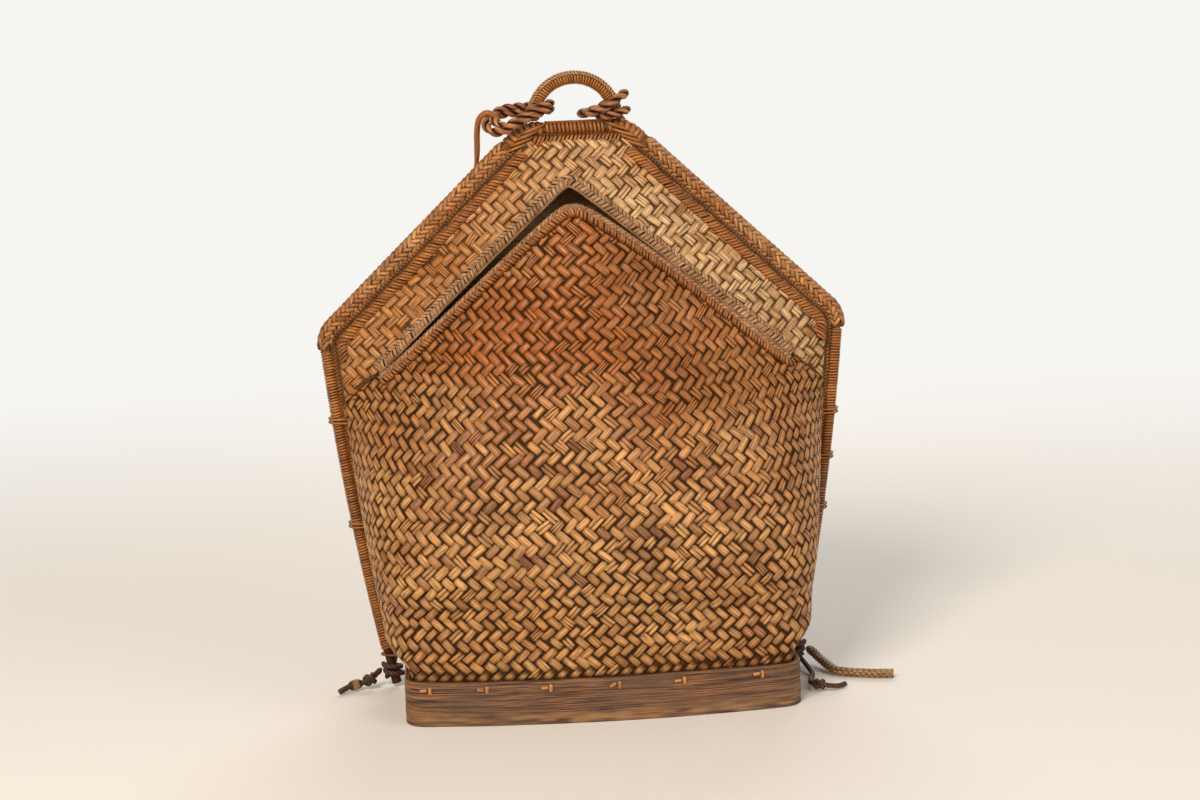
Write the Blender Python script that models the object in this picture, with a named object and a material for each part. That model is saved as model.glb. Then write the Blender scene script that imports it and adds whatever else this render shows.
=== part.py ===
"""A plaited rattan pack basket, standing on its bent-wood foot band.

Its back lies in the plane y = 0, its front faces -Y, and +Z is up. The origin is the middle of the
underside of the foot band's rear lath. Every length is in metres.
"""

import math

import bmesh
import bpy
import numpy as np

# Clearances that every seat shares
GAP = 0.0003
CUT_OVERRUN = 0.003

# Bent-wood foot band: a lath hoop with a bowed front
BAND_HEIGHT = 0.030
BAND_THICKNESS = 0.004
BAND_HALF_WIDTH = 0.1334
BAND_DEPTH = 0.115
BAND_BOW = 0.010
BAND_FRONT_CORNER = 0.014
BAND_REAR_CORNER = 0.0045
BAND_EDGE_ROUNDING = 0.0008

# Plaited body
WALL = 0.0022
BODY_BOTTOM = 0.003
BODY_DEPTH = 0.118
BODY_INSET = 0.0064
BODY_FLARE_HEIGHT = 0.024
BACK_CENTRE_Y = -(BAND_THICKNESS / 2 + GAP + WALL / 2)
POUCH_EDGE_Y = BACK_CENTRE_Y - WALL / 2 - GAP
YOKE_EDGE_Y = POUCH_EDGE_Y - WALL / 2

# Chevron mouth and its two edges
MOUTH_PEAK_X = -0.007
MOUTH_PEAK_Z = 0.350
MOUTH_END_X = 0.141
MOUTH_END_Z = 0.2285
MOUTH_PEAK_ROUNDING = 0.004
LIP_PEAK_ROUNDING = 0.010
LIP_DROP_AT_PEAK = 0.0105
LIP_DROP_AT_END = 0.0054
SEAM_WIDTH = 0.0016
SEAM_CLOSING_LENGTH = 0.010
RIGHT_ARM_TUCK = 0.009
TUCK_HEIGHT = 0.085
EDGE_BINDING_DEPTH = 0.0095
EDGE_BINDING_WALL = 0.0011
EDGE_BINDING_CLEARANCE = 0.0010

# Bent cane frame, given by its centre line
CANE_RADIUS = 0.0034
FRAME_FOOT_X = 0.1408
FRAME_FOOT_Z = 0.003
FRAME_SHOULDER_X = 0.178
FRAME_SHOULDER_Z = 0.252
FRAME_SIDE_BOW = 0.004
FRAME_SHOULDER_RADIUS = 0.018
FRAME_TOP_HALF_WIDTH = 0.0356
FRAME_TOP_Z = 0.387
FRAME_TOP_RADIUS = 0.018

# Split-rattan bindings of the frame
STRIP_THICKNESS = 0.0012
SIDE_BINDING_START_Z = 0.028
SIDE_BINDING_LOOPS = 24
SIDE_BINDING_SLIT = 0.0007
BRAID_START_Z = 0.242
BRAID_RADIUS = 0.0062
CORNER_LASHING_ON_SLOPE = 0.014
CORNER_LASHING_ON_BAR = 0.0145
CORNER_LASHING_LOOPS = 7
CORNER_LASHING_SLIT = 0.0015
TOP_BINDING_RADIUS = 0.0055
INNER_RIM_INSET = 0.0128
INNER_RIM_WIDTH = 0.007
INNER_RIM_HEIGHT = 0.0032
INNER_RIM_CLEARANCE = 0.0006
ROD_LASHING_RADIUS = 0.0008
ROD_LASHING_PITCH = 0.0026
ROD_LASHING_LOOPS = 2
ROD_LASHING_HOLE_INSET = 0.0052
LEFT_LASHING_HEIGHTS = (0.118, 0.192)
RIGHT_LASHING_HEIGHTS = (0.115, 0.151, 0.183)
FOOT_LASHING_Z = 0.024
FOOT_LASHING_RADIUS = 0.0009

# Carrying handle
HANDLE_HALF_SPAN = 0.0284
HANDLE_RISE = 0.0285
HANDLE_CORE_RADIUS = 0.0031
HANDLE_STRIP_THICKNESS = 0.0013
HANDLE_LOOPS = 24
HANDLE_SLIT = 0.0008

# Rattan stitches through the foot band
STITCH_WIDTH = 0.0024
STITCH_THICKNESS = 0.0010
STITCH_HEIGHT = 0.0054
STITCH_BELOW_EDGE = 0.0055
STITCH_PLAY = 0.0003
STITCH_SLACK = 0.0014
FRONT_STITCHES_X = (-0.116, -0.0785, -0.0363, 0.009, 0.052, 0.105)
REAR_STITCHES_X = (-0.100, -0.036, 0.036, 0.100)

# Rope links at the top and the hooks that hang in them
ROPE_RADIUS = 0.0035
HOOK_WIDTH = 0.0055
HOOK_THICKNESS = 0.0022

# Shoulder straps
STRAP_WIDTH = 0.028
STRAP_THICKNESS = 0.003
STRAP_END_WIDTH = 0.003
STRAP_END_THICKNESS = 0.0024
STRAP_BOW = 0.055
STRAP_STRAIGHT_END = 0.0045
STRAP_LEFT_TOP = (-0.0690, 0.0100, 0.3610)
STRAP_RIGHT_TOP = (0.0440, 0.0120, 0.3660)
STRAP_FOOT_X = 0.1420
STRAP_FOOT_Y = 0.0099
STRAP_FOOT_Z = 0.0150

# Dark tie cords at the feet and the plaited tail
TIE_RADIUS = 0.0020
TIE_PITCH = 0.0047
TIE_LOOPS = 2
TIE_START_Z = 0.0075
TAIL_LEFT_RADIUS = 0.0021
TAIL_RIGHT_RADIUS = 0.0018
BRAIDED_TAIL_RADIUS = 0.0034
LUMP_RIM = 0.0006
TAIL_LEFT_ROUTE = (
    (-0.1514, -0.0004, 0.0121), (-0.1530, -0.0005, 0.0118), (-0.1582, -0.0044, 0.0080),
    (-0.1630, -0.0064, 0.0060), (-0.1690, -0.0076, 0.0050), (-0.1750, -0.0110, 0.0040),
    (-0.1805, -0.0160, 0.0026),
)
TAIL_RIGHT_ROUTE = (
    (0.1428, -0.0084, 0.0108), (0.1448, -0.0135, 0.0085), (0.1490, -0.0240, 0.0036),
    (0.1496, -0.0360, 0.0022), (0.1462, -0.0500, 0.0024), (0.1452, -0.0620, 0.0038),
    (0.1500, -0.0720, 0.0051), (0.1560, -0.0735, 0.0043), (0.1625, -0.0690, 0.0026),
    (0.1680, -0.0635, 0.0022),
)
BRAIDED_TAIL_ROUTE = (
    (0.1525, 0.0008, 0.0098), (0.1546, 0.0004, 0.0096), (0.1600, -0.0140, 0.0058),
    (0.1660, -0.0310, 0.0036), (0.1760, -0.0400, 0.0035), (0.1900, -0.0455, 0.0035),
    (0.2045, -0.0485, 0.0035),
)

# How the body's section changes with its height, as shares of the frame's height and body's depth
pouch_height_shares = (0.19, 0.26, 0.41, 0.584, 0.73, 0.877, 1.0)
pouch_depth_shares = (0.975, 1.0, 0.955, 0.81, 0.66, 0.49, 0.40)
yoke_height_shares = (0.19, 0.26, 0.41, 0.584, 0.66, 0.745, 0.904, 0.983)
yoke_depth_shares = (0.975, 1.0, 0.955, 0.81, 0.62, 0.43, 0.235, 0.060)
squareness_height_shares = (0.13, 0.26, 0.41, 0.584, 1.0)
BASE_SQUARENESS = 24.0
squareness_values = (8.0, 4.6, 3.2, 2.0, 2.0)
side_roundness_shares = (0.13, 0.26, 0.50, 1.2, 1.2)

# How finely the curved pieces are divided
BODY_COLUMNS = 32
POUCH_ROWS = 10
COLUMN_BEND_Z = 0.198
lip_row_share = 1.08
YOKE_ROWS = 6
CANE_SIDES = 8
ROLL_SIDES = 10
STRIP_POINTS_PER_LOOP = 8
HANDLE_POINTS_PER_LOOP = 8
STRAND_POINTS_PER_LOOP = 8


def clear_scene():
    for old in list(bpy.data.objects):
        bpy.data.objects.remove(old)


def finish(name, colour, roughness):
    """A plain dielectric finish in the piece's own colour."""
    made = bpy.data.materials.new(name)
    made.use_nodes = True
    shader = made.node_tree.nodes["Principled BSDF"]
    shader.inputs["Base Color"].default_value = (*colour, 1.0)
    shader.inputs["Roughness"].default_value = roughness
    shader.inputs["Metallic"].default_value = 0.0
    return made


def add_solid(name, vertices, faces, material, origin=(0.0, 0.0, 0.0)):
    """One closed mesh object, its faces pointing out, with its origin where a joint needs it."""
    base = np.array(origin)
    mesh = bpy.data.meshes.new(name)
    mesh.from_pydata([tuple(point - base) for point in np.asarray(vertices)], [], faces)
    shape = bmesh.new()
    shape.from_mesh(mesh)
    bmesh.ops.recalc_face_normals(shape, faces=shape.faces)
    shape.to_mesh(mesh)
    shape.free()
    mesh.materials.append(material)
    mesh.shade_smooth()
    mesh.set_sharp_from_angle(angle=math.radians(40))
    piece = bpy.data.objects.new(name, mesh)
    piece.location = base
    bpy.context.scene.collection.objects.link(piece)
    return piece


def unit(vectors):
    vectors = np.asarray(vectors, dtype=float)
    return vectors / np.linalg.norm(vectors, axis=-1, keepdims=True)


def smooth_step(share):
    share = np.clip(share, 0.0, 1.0)
    return share * share * (3.0 - 2.0 * share)


def smooth_line(places, values, place):
    """The value at one place on a smooth line through values given at rising places."""
    places = np.asarray(places, dtype=float)
    values = np.asarray(values, dtype=float)
    slopes = np.gradient(values, places)
    place = float(np.clip(place, places[0], places[-1]))
    first = int(np.clip(np.searchsorted(places, place) - 1, 0, len(places) - 2))
    span = places[first + 1] - places[first]
    t = (place - places[first]) / span
    return (
        (1 + 2 * t) * (1 - t) ** 2 * values[first]
        + t * (1 - t) ** 2 * span * slopes[first]
        + t * t * (3 - 2 * t) * values[first + 1]
        + t * t * (t - 1) * span * slopes[first + 1]
    )


def lengths_along(points):
    steps = np.linalg.norm(np.diff(points, axis=0), axis=1)
    return np.concatenate(([0.0], np.cumsum(steps)))


def at_lengths(points, wanted):
    """Points of a line at the wanted distances along it."""
    along = lengths_along(points)
    return np.stack([np.interp(wanted, along, points[:, k]) for k in range(points.shape[1])], axis=1)


def curve_through(route, count, closed=False):
    """Evenly spaced points of a smooth Catmull-Rom curve through a route's own points."""
    route = np.asarray(route, dtype=float)
    if closed:
        padded = np.concatenate((route[-1:], route, route[:2]))
    else:
        padded = np.concatenate((2 * route[:1] - route[1:2], route, 2 * route[-1:] - route[-2:-1]))
    share = np.linspace(0.0, 1.0, 12, endpoint=False)[:, None]
    dense = []
    for a, b, c, d in zip(padded[:-3], padded[1:-2], padded[2:-1], padded[3:]):
        bend = 2 * a - 5 * b + 4 * c - d
        twist = 3 * b - a - 3 * c + d
        dense.append(0.5 * (2 * b + (c - a) * share + bend * share ** 2 + twist * share ** 3))
    dense = np.concatenate(dense + [padded[-2:-1]])
    total = lengths_along(dense)[-1]
    return at_lengths(dense, np.linspace(0.0, total, count + closed))[: count]


def tangents(points, closed=False):
    if closed:
        return unit(np.roll(points, -1, axis=0) - np.roll(points, 1, axis=0))
    return unit(np.gradient(points, axis=0))


def carried_axes(points, start, closed=False):
    """Two axes square to the line at each point, carried along it without needless twist."""
    line = tangents(points, closed)
    across = np.zeros_like(points)
    axis = np.array(start, dtype=float)
    for k, tangent in enumerate(line):
        axis = axis - tangent * axis.dot(tangent)
        axis = axis / np.linalg.norm(axis)
        across[k] = axis
    return across, np.cross(line, across)


def swept(points, across, upward, profile, closed=False):
    """Rings of a profile set on a line's stations, joined by quads and capped at open ends.

    A profile is one list of (across, upward) pairs for all stations, or one such list for each.
    """
    profile = np.asarray(profile, dtype=float)
    if profile.ndim == 2:
        profile = np.repeat(profile[None], len(points), axis=0)
    rings = points[:, None] + across[:, None] * profile[..., :1] + upward[:, None] * profile[..., 1:]
    count = profile.shape[1]
    stations = len(points)
    faces = []
    for k in range(stations if closed else stations - 1):
        after = (k + 1) % stations
        for j in range(count):
            beside = (j + 1) % count
            faces.append((k * count + j, k * count + beside, after * count + beside, after * count + j))
    if not closed:
        faces.append(tuple(range(count)))
        faces.append(tuple(range(stations * count - 1, (stations - 1) * count - 1, -1)))
    return rings.reshape(-1, 3), faces


def round_profile(radius, sides):
    angles = np.linspace(0.0, 2 * math.pi, sides, endpoint=False)
    return np.stack((radius * np.cos(angles), radius * np.sin(angles)), axis=1)


def strip_profile(width, thickness, crowned):
    """A flat strip's section: width along the first axis, thickness along the second."""
    half = thickness / 2
    if not crowned:
        return np.array([(-width / 2, -half), (width / 2, -half), (width / 2, half), (-width / 2, half)])
    crown_share = 0.3
    rim = width / 2
    crown = width * crown_share
    return np.array([(-rim, -half), (rim, -half), (rim, 0.0), (crown, half), (-crown, half), (-rim, 0.0)])


def sleeve(points, across, upward, outer, inner, sides):
    """A tube with a bore, both round, open at both ends."""
    grid = []
    for radius in (outer, inner):
        ring, faces = swept(points, across, upward, round_profile(radius, sides))
        grid.append(ring)
    count = sides
    stations = len(points)
    offset = stations * count
    faces = []
    for k in range(stations - 1):
        for j in range(count):
            beside = (j + 1) % count
            a, b = k * count + j, k * count + beside
            faces.append((a, b, b + count, a + count))
            faces.append((a + offset, a + count + offset, b + count + offset, b + offset))
    for k in (0, stations - 1):
        for j in range(count):
            a, b = k * count + j, k * count + (j + 1) % count
            faces.append((a, b, b + offset, a + offset))
    return np.concatenate(grid), faces


def sheet(grid, offsets):
    """A closed wall either side of a grid of points, which offsets reach to each face."""
    rows, columns = grid.shape[:2]
    vertices = np.concatenate(((grid + offsets).reshape(-1, 3), (grid - offsets).reshape(-1, 3)))
    back = rows * columns
    faces = []
    for i in range(rows - 1):
        for j in range(columns - 1):
            a = i * columns + j
            b = a + 1
            faces.append((a, b, b + columns, a + columns))
            faces.append((a + back, a + columns + back, b + columns + back, b + back))
    border = [j for j in range(columns)]
    border += [(i + 1) * columns - 1 for i in range(1, rows)]
    border += [(rows - 1) * columns + j for j in range(columns - 2, -1, -1)]
    border += [i * columns for i in range(rows - 2, 0, -1)]
    for a, b in zip(border, border[1:] + border[:1]):
        faces.append((b, a, a + back, b + back))
    return vertices, faces


def grid_normals(grid):
    along = np.gradient(grid, axis=1)
    upward = np.gradient(grid, axis=0)
    return unit(np.cross(along, upward))


# Frame centre line


def fillet(before, corner, after, radius, count):
    """Points of the arc that rounds a corner between two straight runs."""
    into = unit(np.subtract(corner, before))
    out = unit(np.subtract(after, corner))
    turn = math.acos(float(np.clip(into.dot(out), -1.0, 1.0)))
    setback = radius * math.tan(turn / 2)
    start = np.asarray(corner) - into * setback
    inward = unit(out - into * into.dot(out))
    angles = np.linspace(0.0, turn, count)[:, None]
    return start + into * radius * np.sin(angles) + inward * radius * (1 - np.cos(angles))


def frame_parts():
    """Five runs of the frame's right half in (x, z): side, shoulder, slope, top corner, top bar."""
    foot = np.array((FRAME_FOOT_X, FRAME_FOOT_Z))
    shoulder = np.array((FRAME_SHOULDER_X, FRAME_SHOULDER_Z))
    corner = np.array((FRAME_TOP_HALF_WIDTH, FRAME_TOP_Z))
    middle = np.array((0.0, FRAME_TOP_Z))
    run = shoulder - foot
    outward = unit(np.array((run[1], -run[0])))
    share = np.linspace(0.0, 1.0, 60)[:, None]
    side = foot + run * share + outward * 4 * FRAME_SIDE_BOW * share * (1 - share)
    bend = fillet(side[-2], shoulder, corner, FRAME_SHOULDER_RADIUS, 9)
    side = side[np.linalg.norm(side - shoulder, axis=1) > np.linalg.norm(bend[0] - shoulder)]
    top_bend = fillet(shoulder, corner, middle, FRAME_TOP_RADIUS, 6)
    slope = np.linspace(bend[-1], top_bend[0], 30)[1:-1]
    flat = np.linspace(top_bend[-1], middle, 6)[1:]
    return side, bend, slope, top_bend, flat


def frame_half():
    """The right half of the frame's centre line, from its foot to the middle of the top bar."""
    return np.concatenate(frame_parts())


def inset_half(distance):
    """The half frame line moved inwards by a distance."""
    half = frame_half()
    line = unit(np.gradient(half, axis=0))
    inward = np.stack((-line[:, 1], line[:, 0]), axis=1)
    return half + inward * distance


def length_at_height(half, z):
    return float(np.interp(z, half[:, 1], lengths_along(half)))


def frame_stations(start, end, spacing, side):
    """Points of the frame line between two distances from a foot, in space, on one side."""
    half = frame_half()
    count = max(2, int(round((end - start) / spacing)) + 1)
    flat = at_lengths(half, np.linspace(start, end, count))
    return np.stack((side * flat[:, 0], np.zeros(count), flat[:, 1]), axis=1)


def frontal_axes(points):
    """Axes for a line that lies in a frontal plane: one in the plane, one along Y."""
    line = tangents(points)
    depth = np.tile((0.0, 1.0, 0.0), (len(points), 1))
    return np.cross(line, depth), depth


# Body surface


def band_tangent_x():
    """Where the bowed front of the band's centre line meets its corner, and its slope there."""
    reach = BAND_HALF_WIDTH - BAND_THICKNESS / 2
    meet = reach - BAND_FRONT_CORNER
    for _ in range(4):
        lean = math.atan(2 * BAND_BOW / meet)
        setback = BAND_FRONT_CORNER * math.tan((math.pi / 2 - lean) / 2)
        meet = reach - setback * math.cos(lean)
    return meet, lean


BODY_BASE_WIDTH = BAND_HALF_WIDTH - BAND_THICKNESS - GAP - WALL / 2
BODY_BASE_DEPTH = BAND_DEPTH - BAND_THICKNESS - GAP - WALL / 2
BODY_BASE_BOW = BAND_BOW * (BODY_BASE_WIDTH / band_tangent_x()[0]) ** 2
BODY_EDGE = inset_half(BODY_INSET)
BODY_TOP_Z = FRAME_TOP_Z - BODY_INSET


def half_width(z):
    """How far the body reaches either side at a height: narrow in the band, then beside the frame."""
    rising = BODY_EDGE[:, 1] < BODY_TOP_Z - GAP
    free = float(np.interp(z, BODY_EDGE[rising, 1], BODY_EDGE[rising, 0]))
    share = smooth_step((z - BAND_HEIGHT) / BODY_FLARE_HEIGHT)
    return BODY_BASE_WIDTH + (free - BODY_BASE_WIDTH) * float(share)


def depth_at(z, height_shares, depth_shares):
    heights = np.concatenate(([BAND_HEIGHT], np.array(height_shares) * FRAME_TOP_Z))
    depths = np.concatenate(([BODY_BASE_DEPTH], np.array(depth_shares) * BODY_DEPTH))
    return smooth_line(heights, depths, z)


def section_powers(z):
    """Two powers that turn the section from the band's rounded box into a soft cushion above."""
    heights = np.concatenate(([BAND_HEIGHT], np.array(squareness_height_shares) * FRAME_TOP_Z))
    across = smooth_line(heights, np.concatenate(([BASE_SQUARENESS], squareness_values)), z)
    deep = smooth_line(heights, np.concatenate(([1 / BASE_SQUARENESS], side_roundness_shares)), z)
    return across, deep


def section(z, edge_y):
    """The pouch's section at a height: x and y from its left edge round the front to its right one.

    With u from 0 in the middle to 1 at the edge, the depth is (1 - u ** across) ** deep of the
    full depth, less the bow that the foot band gives the front near the base.
    """
    across, deep = section_powers(z)
    even = np.linspace(0.0, 1.0, 160)
    u = np.concatenate((even, (1 - even ** (1 / deep)) ** (1 / across)))
    rise = np.concatenate(((1 - even ** across) ** deep, even))
    order = np.argsort(rise - u)
    u = u[order]
    rise = rise[order]
    bow = BODY_BASE_BOW * (1 - smooth_step((z - BAND_HEIGHT) / (2 * BODY_FLARE_HEIGHT)))
    full = depth_at(z, pouch_height_shares, pouch_depth_shares) + edge_y - bow * u ** 2
    right = np.stack((half_width(z) * u, edge_y - full * rise), axis=1)
    left = right * (-1, 1)
    return np.concatenate((left, right[-2::-1]))


def mouth_z(x):
    """Height of the mouth's upper edge, a chevron with a slightly rounded peak."""
    reach = abs(math.copysign(MOUTH_END_X, x - MOUTH_PEAK_X) - MOUTH_PEAK_X)
    run = math.hypot(reach, MOUTH_PEAK_ROUNDING) - MOUTH_PEAK_ROUNDING
    fall = (MOUTH_PEAK_Z - MOUTH_END_Z) / run
    return MOUTH_PEAK_Z - fall * (math.hypot(x - MOUTH_PEAK_X, MOUTH_PEAK_ROUNDING) - MOUTH_PEAK_ROUNDING)


def lip_z(x):
    """Height of the lip below the mouth's edge: open on the left arm, close on the right."""
    side = math.copysign(1.0, x - MOUTH_PEAK_X)
    reach = abs(side * MOUTH_END_X - MOUTH_PEAK_X)
    share = min(abs(x - MOUTH_PEAK_X) / reach, 1.0)
    power = 3.0 if side > 0 else 0.6
    drop = LIP_DROP_AT_END + (LIP_DROP_AT_PEAK - LIP_DROP_AT_END) * (1 - share) ** power
    closing = float(smooth_step((abs(x) - MOUTH_END_X) / SEAM_CLOSING_LENGTH))
    drop = drop + (SEAM_WIDTH - drop) * closing
    rounding = LIP_PEAK_ROUNDING - MOUTH_PEAK_ROUNDING
    softer = rounding * math.exp(-abs(x - MOUTH_PEAK_X) / LIP_PEAK_ROUNDING) / 2
    return mouth_z(x) - drop - softer


def pouch_point(share, z):
    """A point of the pouch's middle surface: columns follow the section, then run straight up."""
    line = section(min(z, COLUMN_BEND_Z), POUCH_EDGE_Y)
    total = lengths_along(line)[-1]
    x, y = at_lengths(line, np.array([share * total]))[0]
    if z > COLUMN_BEND_Z:
        x *= half_width(min(z, MOUTH_END_Z)) / half_width(COLUMN_BEND_Z)
        line = section(z, POUCH_EDGE_Y)
        y = float(np.interp(x, line[:, 0], line[:, 1]))
    if x > 0:
        near_lip = smooth_step((z - (lip_z(x) - TUCK_HEIGHT)) / TUCK_HEIGHT)
        y += RIGHT_ARM_TUCK * near_lip * math.sin(math.pi * min(x / MOUTH_END_X, 1.0)) ** 2
    return x, y


def pouch_grid():
    """Rows and columns of the pouch's middle surface, from its foot to the lip."""
    shares = np.linspace(0.0, 1.0, BODY_COLUMNS + 1)
    columns = []
    for share in shares:
        top = MOUTH_END_Z
        for _ in range(14):
            top = 0.5 * top + 0.5 * lip_z(pouch_point(share, top)[0])
        x = pouch_point(share, top)[0]
        lean = (lip_z(x + WALL) - lip_z(x - WALL)) / (2 * WALL)
        bound = EDGE_BINDING_DEPTH * lip_row_share * math.hypot(1.0, lean)
        below = np.linspace(BAND_HEIGHT, top - bound, POUCH_ROWS - 1)
        heights = np.concatenate(([BODY_BOTTOM], below, [top]))
        columns.append([(*pouch_point(share, z), z) for z in heights])
    return np.array(columns).transpose(1, 0, 2)


def yoke_y(x, z):
    """Depth of the yoke's middle surface: flat by the frame, swelling towards the mouth."""
    across, deep = section_powers(z)
    share = min(abs(x) / half_width(z), 1.0)
    swell = depth_at(z, yoke_height_shares, yoke_depth_shares) + YOKE_EDGE_Y
    return YOKE_EDGE_Y - max(swell, 0.0) * (1 - share ** across) ** deep


def yoke_grid():
    """Rows and columns of the yoke, from the mouth's edge out to the frame."""
    low = 0.0
    edge_x = half_width(MOUTH_END_Z)
    for _ in range(8):
        low = mouth_z(-edge_x)
        edge_x = half_width(low)
    outline = BODY_EDGE[BODY_EDGE[:, 1] > low + EDGE_BINDING_DEPTH]
    count = BODY_COLUMNS // 2
    upper = at_lengths(outline, np.linspace(0.0, lengths_along(outline)[-1], count + 1))
    rims = {-1: upper * (-1, 1), 1: upper[-2::-1]}
    outer = np.concatenate((rims[-1], rims[1]))
    inner = []
    for side in (-1, 1):
        end = half_width(mouth_z(side * edge_x))
        line = np.linspace(side * end, MOUTH_PEAK_X, count + 1)
        line = line if side < 0 else line[-2::-1]
        inner += [(x, mouth_z(x)) for x in line]
    inner = np.array(inner)
    rows = []
    for share in np.linspace(0.0, 1.0, YOKE_ROWS + 1):
        flat = inner * (1 - share) + outer * share
        rows.append([(x, yoke_y(x, z), z) for x, z in flat])
    return np.array(rows)


# Pieces


def band_outline():
    """Centre line of the foot band seen from above, as closed points round it."""
    reach = BAND_HALF_WIDTH - BAND_THICKNESS / 2
    front = -(BAND_DEPTH - BAND_THICKNESS / 2)
    meet, lean = band_tangent_x()
    bowed = np.linspace(-meet, meet, 13)
    front_line = np.stack((bowed, front + BAND_BOW * (bowed / meet) ** 2), axis=1)
    corner = np.array((reach, front_line[-1, 1] + math.tan(lean) * (reach - meet)))
    back = np.array((reach, 0.0))
    right = fillet(front_line[-1], corner, back, BAND_FRONT_CORNER, 5)
    rear = fillet(corner, back, (0.0, 0.0), BAND_REAR_CORNER, 4)
    side = np.linspace(right[-1], rear[0], 3)[1:-1]
    half = np.concatenate((right[1:], side, rear))
    rear_line = np.linspace(rear[-1], rear[-1] * (-1, 1), 4)[1:-1]
    return np.concatenate((front_line, half, rear_line, half[::-1] * (-1, 1)))


def make_foot_band(wood):
    outline = band_outline()
    points = np.column_stack((outline, np.zeros(len(outline))))
    outward = np.cross(tangents(points, closed=True), (0.0, 0.0, 1.0))
    upward = np.tile((0.0, 0.0, 1.0), (len(points), 1))
    half = BAND_THICKNESS / 2
    ease = BAND_EDGE_ROUNDING
    profile = (
        (-half, ease), (-half + ease, 0.0), (half - ease, 0.0), (half, ease),
        (half, BAND_HEIGHT - ease), (half - ease, BAND_HEIGHT),
        (-half + ease, BAND_HEIGHT), (-half, BAND_HEIGHT - ease),
    )
    vertices, faces = swept(points, outward, upward, profile, closed=True)
    return add_solid("foot_band", vertices, faces, wood)


def make_pouch(grid, cane):
    offsets = grid_normals(grid) * WALL / 2
    offsets[:, 0] = (-WALL / 2, 0.0, 0.0)
    offsets[:, -1] = (WALL / 2, 0.0, 0.0)
    vertices, faces = sheet(grid, offsets)
    return add_solid("pouch_front", vertices, faces, cane)


def make_yoke(grid, cane):
    offsets = grid_normals(grid) * WALL / 2
    facing = np.array((0.0, -WALL / 2, 0.0))
    offsets[-1] = facing
    offsets[:, 0] = facing
    offsets[:, -1] = facing
    vertices, faces = sheet(grid, offsets)
    return add_solid("yoke_front", vertices, faces, cane)


def make_back_panel(cane):
    """The flat plaited back, in rows that follow the body's edge."""
    heights = [BODY_BOTTOM, BAND_HEIGHT]
    flare = np.linspace(BAND_HEIGHT, BAND_HEIGHT + BODY_FLARE_HEIGHT, 5)[1:]
    above = BODY_EDGE[(BODY_EDGE[:, 1] > flare[-1] + WALL) & (BODY_EDGE[:, 1] < BODY_TOP_Z - GAP)]
    heights += list(flare) + list(above[::3, 1])
    widths = [half_width(z) - WALL / 2 for z in heights]
    right = np.stack((widths, heights), axis=1)
    outline = np.concatenate((right, right[::-1] * (-1, 1)))
    front = np.column_stack((outline[:, 0], np.full(len(outline), BACK_CENTRE_Y - WALL / 2), outline[:, 1]))
    rear = front + (0.0, WALL, 0.0)
    count = len(outline)
    rows = count // 2
    faces = []
    for k in range(rows - 1):
        a, b = k, k + 1
        c, d = count - 2 - k, count - 1 - k
        faces.append((a, b, c, d))
        faces.append((a + count, d + count, c + count, b + count))
    for k in range(count):
        beside = (k + 1) % count
        faces.append((k, k + count, beside + count, beside))
    return add_solid("back_panel", np.concatenate((front, rear)), faces, cane)


def make_floor_panel(cane):
    """The plaited floor, lying inside the foot of the walls."""
    line = section(BAND_HEIGHT, POUCH_EDGE_Y)
    total = lengths_along(line)[-1]
    rim = at_lengths(line, np.linspace(0.0, total, BODY_COLUMNS + 1))
    walk = unit(np.gradient(rim, axis=0))
    inward = np.stack((-walk[:, 1], walk[:, 0]), axis=1)
    inward[0] = (1.0, 0.0)
    inward[-1] = (-1.0, 0.0)
    rim = rim + inward * (WALL / 2 + GAP)
    low = np.column_stack((rim, np.full(len(rim), BODY_BOTTOM)))
    count = len(rim)
    faces = [tuple(range(count)), tuple(range(2 * count - 1, count - 1, -1))]
    for k in range(count):
        beside = (k + 1) % count
        faces.append((k, k + count, beside + count, beside))
    return add_solid("floor_panel", np.concatenate((low, low + (0.0, 0.0, WALL))), faces, cane)


def make_edge_binding(name, grid, edge_row, next_row, material):
    """A folded binding that straddles the edge of a wall, with a slot that follows the wall."""
    kept = np.abs(grid[edge_row][:, 0]) < MOUTH_END_X
    normals = grid_normals(grid)
    line = grid[edge_row]
    inward = unit(np.cross(normals[edge_row], tangents(line)))
    column = grid[next_row] - line
    inward *= np.sign(np.sum(inward * column, axis=1))[:, None]
    reach = EDGE_BINDING_DEPTH / np.sum(inward * column, axis=1)[:, None]
    deep = line + column * reach
    deep_normals = normals[edge_row] * (1 - reach) + normals[next_row] * reach
    crest = line - inward * GAP
    crown = line - inward * (GAP + EDGE_BINDING_WALL)
    slot = WALL / 2 + EDGE_BINDING_CLEARANCE
    outer = slot + EDGE_BINDING_WALL
    rim = outer - GAP
    edge_normals = normals[edge_row]
    rings = np.stack((
        crest - edge_normals * slot, deep - deep_normals * slot, deep - deep_normals * rim,
        line - edge_normals * outer, crown - edge_normals * slot, crown + edge_normals * slot,
        line + edge_normals * outer, deep + deep_normals * rim, deep + deep_normals * slot,
        crest + edge_normals * slot,
    ), axis=1)[kept]
    stations, count = rings.shape[:2]
    faces = swept(rings[:, 0], rings[:, 0], rings[:, 0], np.zeros((count, 2)))[1]
    return add_solid(name, rings.reshape(-1, 3), faces, material)


def make_frame_cane(cane):
    side, bend, slope, top_bend, flat = frame_parts()
    right = np.concatenate((side[:-3:6], side[-1:], bend[::2], slope[6:-4:6], top_bend, flat[-1:]))
    line = np.concatenate((right * (-1, 1), right[-2::-1]))
    points = np.stack((line[:, 0], np.zeros(len(line)), line[:, 1]), axis=1)
    across, depth = frontal_axes(points)
    vertices, faces = swept(points, across, depth, round_profile(CANE_RADIUS, CANE_SIDES))
    return add_solid("frame_cane", vertices, faces, cane)


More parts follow.
